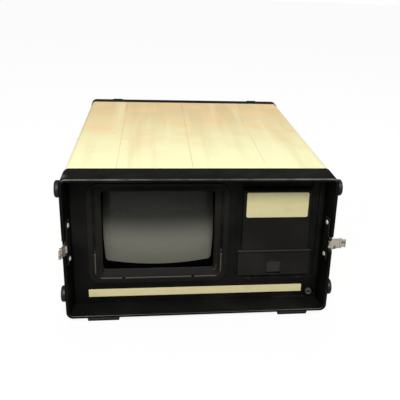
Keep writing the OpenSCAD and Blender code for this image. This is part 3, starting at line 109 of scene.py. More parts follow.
def linear(red, green, blue):
    """Linear colour of an 8-bit screen colour."""
    shades = []
    for shade in (red, green, blue):
        part = shade / 255.0
        shades.append(part / 12.92 if part <= 0.04045 else ((part + 0.055) / 1.055) ** 2.4)
    return tuple(shades)


def centre(node):
    """Middle of a CAD node's box."""
    low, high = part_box(node)
    return (low + high) / 2


# Properties


def length(label, text, value):
    """Length property given in millimetres."""
    return FloatProperty(
        name=label,
        description=text,
        default=value * MM,
        min=0.0,
        precision=5,
        unit="LENGTH",
    )


def tint(label, text, red, green, blue):
    """Colour property given as an 8-bit screen colour."""
    return FloatVectorProperty(
        name=label,
        description=text,
        default=linear(red, green, blue),
        size=3,
        min=0.0,
        max=1.0,
        subtype="COLOR",
    )


class LUG_SizeSettings(bpy.types.PropertyGroup):
    """Sizes of what Blender adds to the frame."""

    case_edge: length("Case edge", "Rounding of the end frames' edges", 0.7)
    panel_edge: length("Panel edge", "Rounding of the front panels' edges", 0.45)
    metal_edge: length("Metal edge", "Rounding of sheet metal edges", 0.15)
    rubber_edge: length("Rubber edge", "Rounding of rubber edges", 0.6)
    rivet_head: length("Rivet head", "Radius of a tubular rivet's rolled head", 4.05)
    rivet_bore: length("Rivet bore", "Radius of the hole in a tubular rivet", 1.45)
    screw_slot: length("Screw slot", "Width of the slot in a screw's head", 1.2)
    guard_wire: length("Guard wire", "Diameter of the fan guard's wire", 2.0)
    guard_rings: IntProperty(
        name="Guard rings",
        description="Rings in the fan guard",
        default=4,
        min=2,
        max=8,
    )
    guard_first: length("Inner guard ring", "Radius of the fan guard's inner ring", 12.0)
    guard_last: length("Outer guard ring", "Radius of the fan guard's outer ring", 38.0)
    scoop_w: length("Scoop width", "Width of the flap's finger scoop", 24.0)
    scoop_h: length("Scoop height", "Height of the flap's finger scoop", 23.0)
    scoop_r: length("Scoop corner", "Corner radius of the flap's finger scoop", 6.0)


class LUG_ColourSettings(bpy.types.PropertyGroup):
    """Colours of the finishes."""

    moulding: tint("Moulding", "End frames and handle", 15, 15, 14)
    # Recess colour: painted shade on the recess walls and on the front panel set in the recess
    recess: tint("Recess", "Walls of the front recess", 9, 9, 8)
    # Colour of rubbed edges, also used for the painted highlight along the front rim's upper edge
    wear_and_highlight: tint("Worn moulding", "Rubbed edges of the mouldings", 112, 110, 102)
    panel: tint("Panel", "Front panels", 22, 21, 19)
    bezel: tint("Bezel", "Surround of the picture tube", 21, 20, 17)
    # Throat colour is painted shade: on the collar behind the bezel and in the bezel's groove
    throat: tint("Throat", "Collar behind the bezel", 4, 4, 4)
    paint_front: tint("Front paint", "Covers near the front", 255, 253, 202)
    # Yellowed rear paint, darker also as painted fall-off of the light
    paint_rear: tint("Rear paint", "Covers near the rear", 224, 199, 149)
    paint_stain: tint("Paint stain", "Yellowed blotches on the covers", 240, 206, 150)
    khaki: tint("Khaki", "Trim strip and name plate", 206, 197, 150)
    rubber: tint("Rubber", "Bumpers, feet and posts", 18, 18, 18)
    nickel: tint("Nickel", "Latches", 204, 196, 180)
    # Rivets are lighter than the latches' nickel: partly their bright plating, partly painted light on
    # walls that get little
    rivet: tint("Rivet", "Rolled rivets of the latches", 240, 238, 230)
    tarnish: tint("Tarnish", "Brown tarnish on the latches", 74, 50, 32)
    zinc: tint("Zinc", "Plated steel", 176, 176, 170)
    sheet: tint("Dark sheet", "Painted steel of the back panel", 48, 48, 47)
    glass: tint("Picture glass", "Unlit face of the picture tube", 108, 108, 98)
    board: tint("Board", "Circuit boards", 30, 84, 50)
    copper: tint("Copper", "Windings of the deflection yoke", 158, 88, 46)
    knob: tint("Knob", "Rim of the small knob", 62, 62, 59)
    # Painted highlight: the lighter patch at the front frame's top-left corner
    corner: tint("Worn corner", "Brownish patch at the front frame's corner", 118, 110, 94)
    # Painted highlight on the lower part of the bezel's groove
    groove_highlight: tint("Bezel groove", "Bright lower part of the bezel's groove", 88, 85, 76)
    # Painted light: the scoop's upward-sloping floor is painted lighter than the flap
    scoop: tint("Scoop", "Polished floor of the flap's finger scoop", 44, 43, 40)
    # Painted shade along the top cover's grooves
    cover_groove_shade: tint("Cover groove", "Fine grooves in the top cover", 168, 146, 106)
    khaki_stain: tint("Khaki stain", "Stains on the khaki sheet", 178, 164, 118)
    khaki_edge: tint("Khaki edge", "Cut edges of the khaki sheet", 226, 220, 180)
    rubber_dust: tint("Rubber dust", "Dust on the rubber", 34, 34, 33)
    rubber_edge: tint("Rubbed rubber", "Edges of the rubber pieces", 84, 84, 80)
    # Painted shade over the upper part of the picture tube's face
    glass_top: tint("Glass top", "Upper part of the picture tube's face", 36, 38, 33)


def sizes():
    """Size settings of the scene."""
    return bpy.context.scene.lug_sizes


def colours():
    """Colour settings of the scene."""
    return bpy.context.scene.lug_colours


# Finishes


def add_node(tree, kind, wires=None, **settings):
    """Adds a node to a tree, sets its settings and fills or links its inputs."""
    node = tree.nodes.new(kind)
    for key, value in settings.items():
        setattr(node, key, value)
    for key, value in (wires or {}).items():
        if isinstance(value, bpy.types.NodeSocket):
            tree.links.new(value, node.inputs[key])
        else:
            node.inputs[key].default_value = value
    return node


def result(tree, kind, wires=None, **settings):
    """First output of a node added to a tree."""
    return add_node(tree, kind, wires, **settings).outputs[0]


class Finish:
    """One node material, built on Object coordinates."""

    def __init__(self, name):
        self.material = bpy.data.materials.new(name)
        self.material.use_nodes = True
        self.tree = self.material.node_tree
        self.shader = self.tree.nodes["Principled BSDF"]
        self.place = self.add("ShaderNodeTexCoord").outputs["Object"]

    def add(self, kind, wires=None, **settings):
        """Adds a node to the material."""
        return add_node(self.tree, kind, wires, **settings)

    def noise(self, scale, detail=3.0, stretch=(1, 1, 1), shift=(0, 0, 0)):
        """Noise with so many lumps a metre."""
        wires = {"Vector": self.place, "Scale": stretch, "Location": shift}
        mapped = self.add("ShaderNodeMapping", wires).outputs[0]
        wires = {"Vector": mapped, "Scale": scale, "Detail": detail}
        return self.add("ShaderNodeTexNoise", wires).outputs[0]

    def cells(self, scale):
        """Rounded cells, so many a metre."""
        wires = {"Vector": self.place, "Scale": scale}
        return self.add("ShaderNodeTexVoronoi", wires, feature="SMOOTH_F1").outputs[0]

    def span(self, value, low, high, to_low=0.0, to_high=1.0):
        """Maps low..high onto another span, held at its ends."""
        wires = {"Value": value, 1: low, 2: high, 3: to_low, 4: to_high}
        return self.add("ShaderNodeMapRange", wires, interpolation_type="SMOOTHSTEP").outputs[0]

    def maths(self, kind, first, second):
        """One sum on two values."""
        return self.add("ShaderNodeMath", {0: first, 1: second}, operation=kind).outputs[0]

    def product(self, first, *others):
        """Product of several values."""
        for other in others:
            first = self.maths("MULTIPLY", first, other)
        return first

    def vector(self, kind, first, second, output):
        """One sum on two vectors."""
        wires = {0: first, 1: second}
        return self.add("ShaderNodeVectorMath", wires, operation=kind).outputs[output]

    def mix(self, factor, first, second):
        """Mixes two colours."""
        four = [(*c, 1.0) if not isinstance(c, bpy.types.NodeSocket) else c for c in (first, second)]
        return self.add("ShaderNodeMix", {0: factor, 6: four[0], 7: four[1]}, data_type="RGBA").outputs[2]

    def axis(self, name):
        """One Object coordinate, in metres."""
        return self.add("ShaderNodeSeparateXYZ", {0: self.place}).outputs[name]

    def within(self, name, low, high, soft=0.0015):
        """1 between two places along an axis, 0 beyond them."""
        up = self.span(self.axis(name), low - soft, low + soft)
        down = self.span(self.axis(name), high - soft, high + soft, 1.0, 0.0)
        return self.product(up, down)

    def inside(self, mid, half_w, half_h, soft):
        """1 within a rectangle that stands round a place, 0 beyond it."""
        across = self.within("X", mid.x - half_w, mid.x + half_w, soft)
        return self.product(across, self.within("Z", mid.z - half_h, mid.z + half_h, soft))

    def ring(self, mid, half_w, half_h, wide):
        """1 on a square ring of this width inside an outline round a place, 0 elsewhere."""
        outer = self.inside(mid, half_w, half_h, 0.0003)
        inner = self.inside(mid, half_w - wide, half_h - wide, 0.0006)
        return self.product(outer, self.maths("SUBTRACT", 1.0, inner))

    def leaning(self, way, low=0.8, high=0.97):
        """1 where the surface faces this way, 0 where it faces elsewhere."""
        normal = self.add("ShaderNodeNewGeometry").outputs["Normal"]
        return self.span(self.vector("DOT_PRODUCT", normal, way, "Value"), low, high)

    def away(self, place):
        """Distance from a place, in metres."""
        return self.vector("DISTANCE", self.place, tuple(place), "Value")

    def edges(self, radius):
        """1 on edges that stick out or in, 0 on flats."""
        soft = self.add("ShaderNodeBevel", {"Radius": radius}, samples=6).outputs[0]
        sharp = self.add("ShaderNodeNewGeometry").outputs["Normal"]
        dot = self.vector("DOT_PRODUCT", soft, sharp, "Value")
        return self.span(self.maths("SUBTRACT", 1.0, dot), 0.02, 0.22)

    def bump(self, height, depth, strength=1.0, below=None):
        """Bump of so many metres, on top of another one."""
        wires = {"Height": height, "Distance": depth, "Strength": strength}
        if below is not None:
            wires["Normal"] = below
        return self.add("ShaderNodeBump", wires).outputs[0]

    def finish(self, colour=None, rough=None, normal=None, **fixed):
        """Links colour, roughness and normal to the shader and sets its other sockets."""
        for key, value in (("Base Color", colour), ("Roughness", rough), ("Normal", normal)):
            if isinstance(value, bpy.types.NodeSocket):
                self.tree.links.new(value, self.shader.inputs[key])
            elif value is not None:
                self.shader.inputs[key].default_value = value
        for key, value in fixed.items():
            socket = key.replace("_", " ").title().replace("Ior", "IOR")
            self.shader.inputs[socket].default_value = value
        return self.material


def plastic(f, body, wear_and_highlight, grain=1400.0, specular=0.12, wear=0.5, rough=0.5, rim_highlight=None):
    """Grained black plastic with dust and rubbed edges, and a painted highlight where a highlight mask is
    given.
    """
    dust = f.span(f.noise(9.0, 5.0), 0.45, 0.75, 0.0, 0.05)
    speck = f.span(f.noise(420.0, 2.0), 0.64, 0.74, 0.0, 0.08)
    scuff = f.span(f.noise(60.0, 4.0, stretch=(1, 1, 0.3)), 0.45, 0.62)
    edge = f.edges(0.0016)
    rub = f.product(edge, f.product(scuff, wear))
    # Painted highlight: the masked part of the rim takes the rubbed-edge colour
    if rim_highlight is not None:
        shine = f.product(rim_highlight, f.span(f.noise(45.0, 5.0), 0.3, 0.6, 0.45, 1.0))
        rub = f.maths("MAXIMUM", rub, shine)
    colour = f.mix(f.maths("MAXIMUM", dust, speck), body, wear_and_highlight)
    colour = f.mix(rub, colour, wear_and_highlight)
    fine = f.bump(f.cells(grain), 0.0001, 0.3)
    normal = f.bump(f.noise(38.0, 3.0), 0.0004, 0.12, fine)
    roughness = f.span(f.noise(24.0, 4.0), 0.3, 0.7, rough - 0.08, rough + 0.12)
    return f.finish(colour, roughness, normal, specular_ior_level=specular)


def frame_plastic():
    """Plastic of the end frames, darker in the recess as painted shade, with a painted highlight along
    the front rim's upper edge and a painted highlight patch at its top-left corner.
    """
    c = colours()
    f = Finish("moulded_black")
    # Painted shade: inside the front recess the moulding takes the darker recess colour
    low, high = spot(*RECESS_SHADE_LOW), spot(*RECESS_SHADE_HIGH)
    deep = f.span(f.axis("Y"), low.y - 0.001, low.y + 0.001)
    inside = f.product(f.within("X", low.x, high.x), f.within("Z", low.z, high.z), deep)
    body = f.mix(inside, c.moulding, c.recess)
    # Painted highlight: a lighter patch round the front frame's top-left corner
    near = f.span(f.away(spot(*CORNER_HIGHLIGHT)), 0.004, 0.013, 1.0, 0.0)
    patch = f.product(near, f.span(f.noise(160.0, 4.0), 0.35, 0.6))
    body = f.mix(f.product(patch, 0.8), body, c.corner)
    # Painted highlight along the front rim's upper edge, where it faces up and forward, stronger towards
    # the sides
    across = f.maths("ABSOLUTE", f.maths("SUBTRACT", f.axis("X"), HOME.x), 0.0)
    front = f.span(f.axis("Y"), HOME.y + 0.002, HOME.y + 0.004, 1.0, 0.0)
    rim_highlight = f.product(f.leaning((0, -0.7, 0.7)), f.span(across, 0.06, 0.2, 0.5, 1.0), front)
    return plastic(f, body, c.wear_and_highlight, specular=0.05, wear=0.4, rim_highlight=rim_highlight)


def bezel_plastic():
    """Plastic of the bezel, with a painted highlight along the bottom of its groove, and painted shadow
    in the groove above and deep in it all round.
    """
    c = colours()
    f = Finish("bezel_black")
    mid = spot(*SCREEN_MID)
    low = f.span(f.axis("Z"), mid.z - 0.034, mid.z - 0.026, 1.0, 0.0)
    high = f.maths("SUBTRACT", 1.0, low)
    behind = f.span(f.axis("Y"), HOME.y + 0.0378, HOME.y + 0.0386)
    # Painted highlight along the lower part of the groove
    line = f.product(f.ring(mid, *GROOVE_HIGHLIGHT), low, behind)
    body = f.mix(f.product(line, 0.9), c.bezel, c.groove_highlight)
    # Painted shadow along the upper part of the groove
    groove_shadow = f.product(f.ring(mid, *GROOVE_SHADOW), high)
    body = f.mix(f.product(groove_shadow, 0.95), body, c.throat)
    # Painted shadow deep in the groove, all round
    behind = f.span(f.axis("Y"), HOME.y + 0.0402, HOME.y + 0.0408)
    body = f.mix(f.product(f.ring(mid, *GROOVE_PIT_SHADOW), behind), body, c.throat)
    return plastic(f, body, c.wear_and_highlight, FINE_GRAIN, 0.10, 0.5, 0.45)


def flap_plastic():
    """Plastic of the flap, its finger scoop painted lighter as light falling on its upward-sloping floor.
    """
    c = colours()
    f = Finish("flap_black")
    mid = spot(*SCOOP_MID)
    across = f.within("X", mid.x - 0.012, mid.x + 0.012)
    upward = f.within("Z", mid.z - 0.011, mid.z + 0.0112)
    # Painted light on the floor of the finger scoop
    scoop = f.product(across, upward, f.span(f.axis("Y"), mid.y + 0.0001, mid.y + 0.0004))
    body = f.mix(scoop, c.panel, c.scoop)
    return plastic(f, body, c.wear_and_highlight, FINE_GRAIN, 0.14, 0.35, 0.45)


def cover_paint():
    """Cream paint, yellowed towards the rear and darker there as painted fall-off of the light, with soft
    blotches, faint streaks and painted shade along its grooves.
    """
    c = colours()
    f = Finish("cover_paint")
    low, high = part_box("top_cover")
    along = f.maths("DIVIDE", f.maths("SUBTRACT", f.axis("Y"), low.y), high.y - low.y)
    # Front to rear: real yellowing, and a darkening that is painted fall-off of the light
    colour = f.mix(f.span(along, 0.0, 1.0), c.paint_front, c.paint_rear)
    blotch = f.span(f.noise(15.0, 6.0), 0.42, 0.7, 0.0, 0.6)
    blotch = f.product(blotch, f.span(along, 0.0, 0.6, 0.12, 1.0))
    colour = f.mix(blotch, colour, c.paint_stain)
    pale = f.span(f.noise(30.0, 3.0, stretch=(1, 0.05, 1), shift=(3, 0, 0)), 0.55, 0.75, 0.0, 0.35)
    colour = f.mix(pale, colour, tuple(1.0 if v > 0.9 else 1.12 * v for v in c.paint_front))
    streak = f.span(f.noise(34.0, 3.0, stretch=(1, 0.07, 1)), 0.5, 0.75, 0.0, 0.22)
    colour = f.mix(streak, colour, tuple(0.78 * v for v in c.paint_rear))
    # Painted shade: a dark line along each of the three grooves
    for groove in COVER_GROOVES:
        x = spot(groove, 0, 0).x
        line = f.within("X", x - 0.0006, x + 0.0006, 0.0005)
        line = f.product(line, f.span(f.noise(18.0, 3.0), 0.3, 0.6, 0.05, 0.4))
        colour = f.mix(line, colour, c.cover_groove_shade)
    rub = f.product(f.edges(0.0012), f.span(f.noise(90.0, 3.0), 0.45, 0.6, 0.0, 0.55))
    colour = f.mix(rub, colour, tuple(0.45 * v for v in c.paint_stain))
    normal = f.bump(f.noise(900.0, 2.0), 0.00008, 0.3)
    normal = f.bump(f.noise(5.0, 2.0), 0.0008, 0.15, normal)
    rough = f.span(f.noise(15.0, 4.0), 0.3, 0.7, 0.42, 0.58)
    return f.finish(colour, rough, normal, specular_ior_level=0.25)


def khaki_metal():
    """Satin khaki-gold sheet with a fine brushed grain and lighter cut edges."""
    c = colours()
    f = Finish("khaki_trim")
    grain = f.noise(700.0, 2.0, stretch=(0.03, 1, 1))
    colour = f.mix(f.span(grain, 0.3, 0.7, 0.0, 0.3), c.khaki, tuple(0.82 * v for v in c.khaki))
    colour = f.mix(f.span(f.noise(30.0, 3.0), 0.5, 0.8, 0.0, 0.35), colour, c.khaki_stain)
    colour = f.mix(f.edges(0.0007), colour, c.khaki_edge)
    normal = f.bump(grain, 0.00003, 0.4)
    rough = f.span(f.noise(80.0, 3.0), 0.3, 0.7, 0.36, 0.5)
    return f.finish(colour, rough, normal, specular_ior_level=0.35)


def rubber():
    """Matt black rubber, greyed by dust."""
    c = colours()
    f = Finish("bumper_rubber")
    dust = f.span(f.noise(45.0, 5.0), 0.45, 0.75, 0.0, 0.5)
    colour = f.mix(dust, c.rubber, c.rubber_dust)
    colour = f.mix(f.product(f.edges(0.0012), 0.6), colour, c.rubber_edge)
    normal = f.bump(f.noise(1600.0, 2.0), 0.0001, 0.4)
    rough = f.span(f.noise(70.0), 0.3, 0.7, 0.42, 0.6)
    return f.finish(colour, rough, normal, specular_ior_level=0.4)


def plated_metal(name, body, stain, amount=0.5, rough=0.3, metal=0.75, spread=0.54):
    """Plated metal with a rubbed, stained surface."""
    f = Finish(name)
    patch = f.span(f.noise(110.0, 5.0), spread, spread + 0.12, 0.0, amount)
    patch = f.maths("MAXIMUM", patch, f.product(f.edges(0.0009), amount))
    colour = f.mix(patch, body, stain)
    normal = f.bump(f.noise(1300.0, 2.0), 0.00003, 0.5)
    uneven = f.span(f.noise(60.0, 4.0), 0.3, 0.7, rough, rough + 0.2)
    roughness = f.maths("ADD", uneven, f.product(patch, 0.25))
    return f.finish(colour, roughness, normal, metallic=metal)


def painted_sheet(name, body, dust, bare):
    """Textured paint on sheet steel, rubbed along its edges."""
    f = Finish(name)
    colour = f.mix(f.span(f.noise(25.0, 4.0), 0.4, 0.8, 0.0, 0.4), body, dust)
    colour = f.mix(f.product(f.edges(0.0008), 0.6), colour, bare)
    normal = f.bump(f.noise(1100.0, 2.0), 0.0001, 0.4)
    rough = f.span(f.noise(50.0), 0.3, 0.7, 0.5, 0.65)
    return f.finish(colour, rough, normal, specular_ior_level=0.25)


def tube_glass():
    """Phosphor grey behind clear glass, with painted shade over its upper part, and darker further back
    round its edge.
    """
    c = colours()
    f = Finish("tube_glass")
    cloud = f.span(f.noise(12.0, 3.0), 0.3, 0.7, 0.0, 0.25)
    colour = f.mix(cloud, c.glass, tuple(0.8 * v for v in c.glass))
    # Painted shade: the face darkens towards its top
    top_shade = f.span(f.axis("Z"), spot(0, 0, GLASS_SHADE_LOW).z, spot(0, 0, GLASS_SHADE_HIGH).z)
    colour = f.mix(top_shade, colour, c.glass_top)
    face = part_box("picture_tube")[0].y
    depth = f.span(f.axis("Y"), face + 0.012, face + 0.03)
    colour = f.mix(depth, colour, linear(20, 20, 20))
    dust = f.span(f.noise(500.0, 3.0), 0.66, 0.74, 0.0, 0.10)
    colour = f.mix(dust, colour, linear(190, 190, 180))
    rough = f.span(f.noise(9.0, 4.0), 0.35, 0.7, 0.3, 0.42)
    coat = {"coat_weight": 0.35, "coat_roughness": 0.1}
    return f.finish(colour, rough, None, specular_ior_level=0.15, **coat)


def circuit_board():
    """Green lacquered board with lighter tracks."""
    c = colours()
    f = Finish("board_green")
    tracks = f.span(f.noise(260.0, 1.0, stretch=(1, 0.12, 1)), 0.55, 0.6)
    colour = f.mix(f.product(tracks, 0.5), c.board, tuple(1.9 * v for v in c.board))
    normal = f.bump(tracks, 0.00005, 0.5)
    return f.finish(colour, 0.4, normal, coat_weight=0.3, coat_roughness=0.2)


def wound_copper():
    """Lacquered winding with fine turns round the tube's neck."""
    c = colours()
    f = Finish("yoke_copper")
    wires = {"Vector": f.place, "Scale": 320.0, "Distortion": 0.6}
    turns = f.add("ShaderNodeTexWave", wires, bands_direction="Y").outputs[1]
    colour = f.mix(f.span(turns, 0.2, 0.8, 0.0, 0.6), c.copper, tuple(0.4 * v for v in c.copper))
    return f.finish(colour, 0.38, f.bump(turns, 0.0003, 0.6), metallic=0.4)


def knob_grey():
    """Grey knob, lighter round its rim and dark in the middle of its face."""
    c = colours()
    f = Finish("knob_grey")
    offset = f.vector("SUBTRACT", f.place, tuple(centre("brightness_knob")), 0)
    flat = f.vector("MULTIPLY", offset, (1, 0, 1), 0)
    away = f.vector("LENGTH", flat, (0, 0, 0), "Value")
    ring = f.span(away, 0.0022, 0.0032)
    colour = f.mix(ring, linear(30, 30, 29), c.knob)
    colour = f.mix(f.span(f.noise(300.0, 3.0), 0.5, 0.75, 0.0, 0.4), colour, linear(70, 70, 66))
    normal = f.bump(f.noise(1500.0, 2.0), 0.00006, 0.4)
    return f.finish(colour, f.span(f.noise(90.0), 0.3, 0.7, 0.4, 0.55), normal)


def panel_plastic(name, body, wear_and_highlight, specular=0.11, wear=0.35, rough=0.45):
    """Plastic with the finer grain of the front panels."""
    return plastic(Finish(name), body, wear_and_highlight, FINE_GRAIN, specular, wear, rough)


FINISHES = {}


def finish_of(slot):
    """Material of one of the record's slots, made once."""
    if slot in FINISHES:
        return FINISHES[slot]
    c = colours()
    drive, lever, port = linear(24, 24, 24), linear(17, 17, 17), linear(200, 198, 190)
    makers = {
        "moulded_black": (frame_plastic,),
        "panel_black": (panel_plastic, c.panel, c.wear_and_highlight),
        # Painted shade: the front panel in the recess takes the darker recess colour
        "panel_dark": (panel_plastic, c.recess, c.wear_and_highlight, 0.11, 0.3),
        "bezel_black": (bezel_plastic,),
        # Painted shade: the collar deep behind the bezel, near black and without gloss
        "collar_black": (panel_plastic, c.throat, c.throat, 0.0, 0.0, 0.8),
        "flap_black": (flap_plastic,),
        "drive_black": (panel_plastic, drive, c.wear_and_highlight, 0.14, 0.3, 0.5),
        "cover_paint": (cover_paint,),
        "khaki_trim": (khaki_metal,),
        "bumper_rubber": (rubber,),
        "latch_nickel": (plated_metal, c.nickel, c.tarnish, 0.9, 0.3, 0.6, 0.5),
        # The rivets' near-white colour is partly painted light
        "rivet_bright": (plated_metal, c.rivet, linear(150, 140, 124), 0.3, 0.25, 0.35),
        "zinc_steel": (plated_metal, c.zinc, linear(128, 122, 108), 0.35, 0.34),
        "port_steel": (plated_metal, port, linear(120, 110, 92), 0.3, 0.3),
        "dark_steel": (painted_sheet, c.sheet, linear(70, 69, 66), linear(128, 126, 120)),
        "latch_black": (painted_sheet, lever, linear(38, 36, 33), linear(112, 106, 96)),
        "tube_glass": (tube_glass,),
        "board_green": (circuit_board,),
        "yoke_copper": (wound_copper,),
        "knob_grey": (knob_grey,),
    }
    maker, *settings = makers[slot]
    FINISHES[slot] = maker(slot, *settings) if settings else maker()
    return FINISHES[slot]


# Meshes

SLOTS = {part["node"]: part["material_slot"] for part in frame["record"]["subparts"]}
BODIES = {node: body for body, nodes in frame["record"]["behaviour"]["bodies"].items() for node in nodes}


def placed(name, data):
    """New object in the scene."""
    thing = bpy.data.objects.new(name, data)
    bpy.context.scene.collection.objects.link(thing)
    return thing


def mesh_of(work, name):
    """Plain mesh of a bmesh, which is freed."""
    mesh = bpy.data.meshes.new(name)
    work.to_mesh(mesh)
    work.free()
    return mesh


def piece(name, mesh, body, slot, *nodes):
    """Shows a mesh as a piece that rides on a body and stands for these CAD nodes."""
    shown = placed(name, mesh)
    if not mesh.materials:
        mesh.materials.append(finish_of(slot))
    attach(shown, body)
    if nodes:
        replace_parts(shown, *nodes)
    return shown


def plain(maker, name):
    """Turns an object with modifiers into a plain mesh and deletes the object."""
    graph = bpy.context.evaluated_depsgraph_get()
    graph.update()
    mesh = bpy.data.meshes.new_from_object(maker.evaluated_get(graph), depsgraph=graph)
    mesh.name = name
    bpy.data.objects.remove(maker)
    return mesh


def welded(node, gap, keep=None):
    """Copy of a CAD node's mesh with its seams welded, whole or only the faces that keep accepts."""
    source = frame["nodes"][node].data
    mesh = bpy.data.meshes.new(node + "_welded")
    corners = [tuple(v.co) for v in source.vertices]
    mesh.from_pydata(corners, [], [tuple(p.vertices) for p in source.polygons])
    work = bmesh.new()
    work.from_mesh(mesh)
    if keep is not None:
        dropped = [v for v in work.verts if not keep(v.co)]
        bmesh.ops.delete(work, geom=dropped, context="VERTS")
    bmesh.ops.remove_doubles(work, verts=work.verts, dist=gap)
    bmesh.ops.dissolve_degenerate(work, edges=work.edges, dist=gap)
    bmesh.ops.recalc_face_normals(work, faces=work.faces)
    for face in work.faces:
        face.smooth = True
    work.to_mesh(mesh)
    work.free()
    return mesh


def rounded(mesh, edge, steps, angle):
    """A mesh with its sharp edges rounded, and how far any corner strays from the original."""
    maker = placed("maker", mesh)
    rounding = maker.modifiers.new("rounding", "BEVEL")
    rounding.width = edge
    rounding.segments = steps
    rounding.limit_method = "ANGLE"
    rounding.angle_limit = math.radians(angle)
    rounding.use_clamp_overlap = False
    rounding.loop_slide = False
    smoothing = maker.modifiers.new("smoothing", "WEIGHTED_NORMAL")
    smoothing.weight = 100
    smoothing.keep_sharp = True
    near = BVHTree.FromPolygons([v.co for v in mesh.vertices], [p.vertices for p in mesh.polygons])
    softer = plain(maker, mesh.name)
    return softer, max(near.find_nearest(v.co)[3] for v in softer.vertices)


# Shares of the rounding, and gaps welded in metres, tried in turn
ROUNDING_TRIES = ((1.0, 0.00002), (1.0, 0.00005), (1.0, 0.0001), (0.6, 0.0001), (0.3, 0.0001))


def softened(name, form, edge, steps=2, angle=38.0):
    """A form with rounded edges. The form is a function of the gap that is welded."""
    for share, gap in ROUNDING_TRIES:
        mesh, stray = rounded(form(gap), share * edge, steps, angle)
        if stray < share * edge:
            mesh.name = name
            return mesh
    raise RuntimeError(f"the edges of {name} can't be rounded")


def dressed(node, edge, steps=2, angle=38.0, finish=None, keep=None):
    """A CAD node's form with rounded edges, in place of the node."""
    name = node + "_dressed"
    mesh = softened(name, lambda gap: welded(node, gap, keep), edge, steps, angle)
    mesh.materials.append(finish_of(finish or SLOTS[node]))
    return piece(name, mesh, BODIES[node], SLOTS[node], node)


def combined(mesh, other, operation):
    """A mesh joined with, or cut by, another one."""
    maker = placed("maker", mesh)
    tool = placed("tool", other)
    cut = maker.modifiers.new("cut", "BOOLEAN")
    cut.operation = operation
    cut.solver = "EXACT"
    cut.object = tool
    joined = plain(maker, mesh.name)
    bpy.data.objects.remove(tool)
    return joined


def turned(name, profile, closed=False, steps=28):
    """A profile of radius and height, in millimetres, turned about Z."""
    work = bmesh.new()
    verts = [work.verts.new((r * MM, 0.0, z * MM)) for r, z in profile]
    pairs = list(zip(verts, verts[1:]))
    if closed:
        pairs.append((verts[-1], verts[0]))
    edges = [work.edges.new(pair) for pair in pairs]
    bmesh.ops.spin(
        work,
        geom=verts + edges,
        cent=(0, 0, 0),
        axis=(0, 0, 1),
        dvec=(0, 0, 0),
        angle=math.tau,
        steps=steps,
        use_merge=True,
    )
    bmesh.ops.remove_doubles(work, verts=work.verts, dist=1e-6)
    bmesh.ops.recalc_face_normals(work, faces=work.faces)
    for face in work.faces:
        face.smooth = True
    mesh = mesh_of(work, name)
    mesh.set_sharp_from_angle(angle=math.radians(40))
    return mesh


def block(low, high):
    """Mesh of a block between two corners."""
    work = bmesh.new()
    bmesh.ops.create_cube(work, size=1.0)
    for v in work.verts:
        v.co = [a + (b - a) * (c + 0.5) for a, b, c in zip(low, high, v.co)]
    return mesh_of(work, "block")


def round_outline(wide, high, radius, steps=8):
    """Corners of a rounded rectangle round the origin."""
    corners = []
    for turn, (sx, sy) in enumerate(((1, 1), (-1, 1), (-1, -1), (1, -1))):
        for step in range(steps + 1):
            angle = math.radians(90 * turn + 90 * step / steps)
            x = sx * (wide / 2 - radius) + radius * math.cos(angle)
            y = sy * (high / 2 - radius) + radius * math.sin(angle)
            corners.append((x, y))
    return corners


def lofted(rings):
    """Closed mesh through rings of places, capped at both ends."""
    count = len(rings[0])
    places = [place for ring in rings for place in ring]
    faces = [tuple(range(count)), tuple(reversed(range(len(places) - count, len(places))))]
    for level in range(len(rings) - 1):
        for i in range(count):
            a, b = level * count + i, level * count + (i + 1) % count
            faces.append((b, a, a + count, b + count))
    work = bmesh.new()
    verts = [work.verts.new(place) for place in places]
    for face in faces:
        work.faces.new([verts[i] for i in face])
    bmesh.ops.recalc_face_normals(work, faces=work.faces)
    return mesh_of(work, "loft")


def screw(name, head_r, head_h, long):
    """Slotted pan-head screw whose top is at the origin, pointing up Z."""
    shank = 0.48 * head_r
    profile = [(0, 0), (0.62 * head_r, -0.04), (0.86 * head_r, -0.16 * head_h)]
    profile += [(0.97 * head_r, -0.42 * head_h), (head_r, -0.7 * head_h), (head_r, -head_h)]
    profile += [(shank, -head_h), (shank, -long), (0, -long)]
    mesh = turned(name, profile)
    half_w = sizes().screw_slot / 2
    half_l = 0.72 * head_r * MM
    deep = 0.42 * head_h * MM
    return combined(mesh, block((-half_l, -half_w, -deep), (half_l, half_w, 0.001)), "DIFFERENCE")


def fasteners(node, guess):
    """Top and direction of each separate solid in a CAD node, from a rough direction."""
    work = bmesh.new()
    work.from_mesh(frame["nodes"][node].data)
    bmesh.ops.remove_doubles(work, verts=work.verts, dist=0.00002)
    found = []
    left = set(work.verts)
    while left:
        group = set()
        stack = [left.pop()]
        while stack:
            v = stack.pop()
            group.add(v)
            for edge in v.link_edges:
                other = edge.other_vert(v)
                if other in left:
                    left.discard(other)
                    stack.append(other)
        mid = sum((v.co for v in group), Vector()) / len(group)
        rough = guess(mid)
        faces = {face for v in group for face in v.link_faces}
        tops = [face for face in faces if face.normal.dot(rough) > 0.95]
        area = sum(face.calc_area() for face in tops)
        facing = sum((face.normal * face.calc_area() for face in tops), Vector()).normalized()
        axis = sum((face.calc_center_median() * face.calc_area() for face in tops), Vector()) / area
        rise = max(v.co.dot(facing) for v in group) - axis.dot(facing)
        found.append((axis + facing * rise, facing))
    work.free()
    return found


# Geometry nodes


def new_tree(name, inputs):
    """Geometry node tree with these inputs and one geometry output."""
    tree = bpy.data.node_groups.new(name, "GeometryNodeTree")
    for label, kind in inputs:
        tree.interface.new_socket(label, in_out="INPUT", socket_type="NodeSocket" + kind)
    tree.interface.new_socket("Geometry", in_out="OUTPUT", socket_type="NodeSocketGeometry")
    return tree


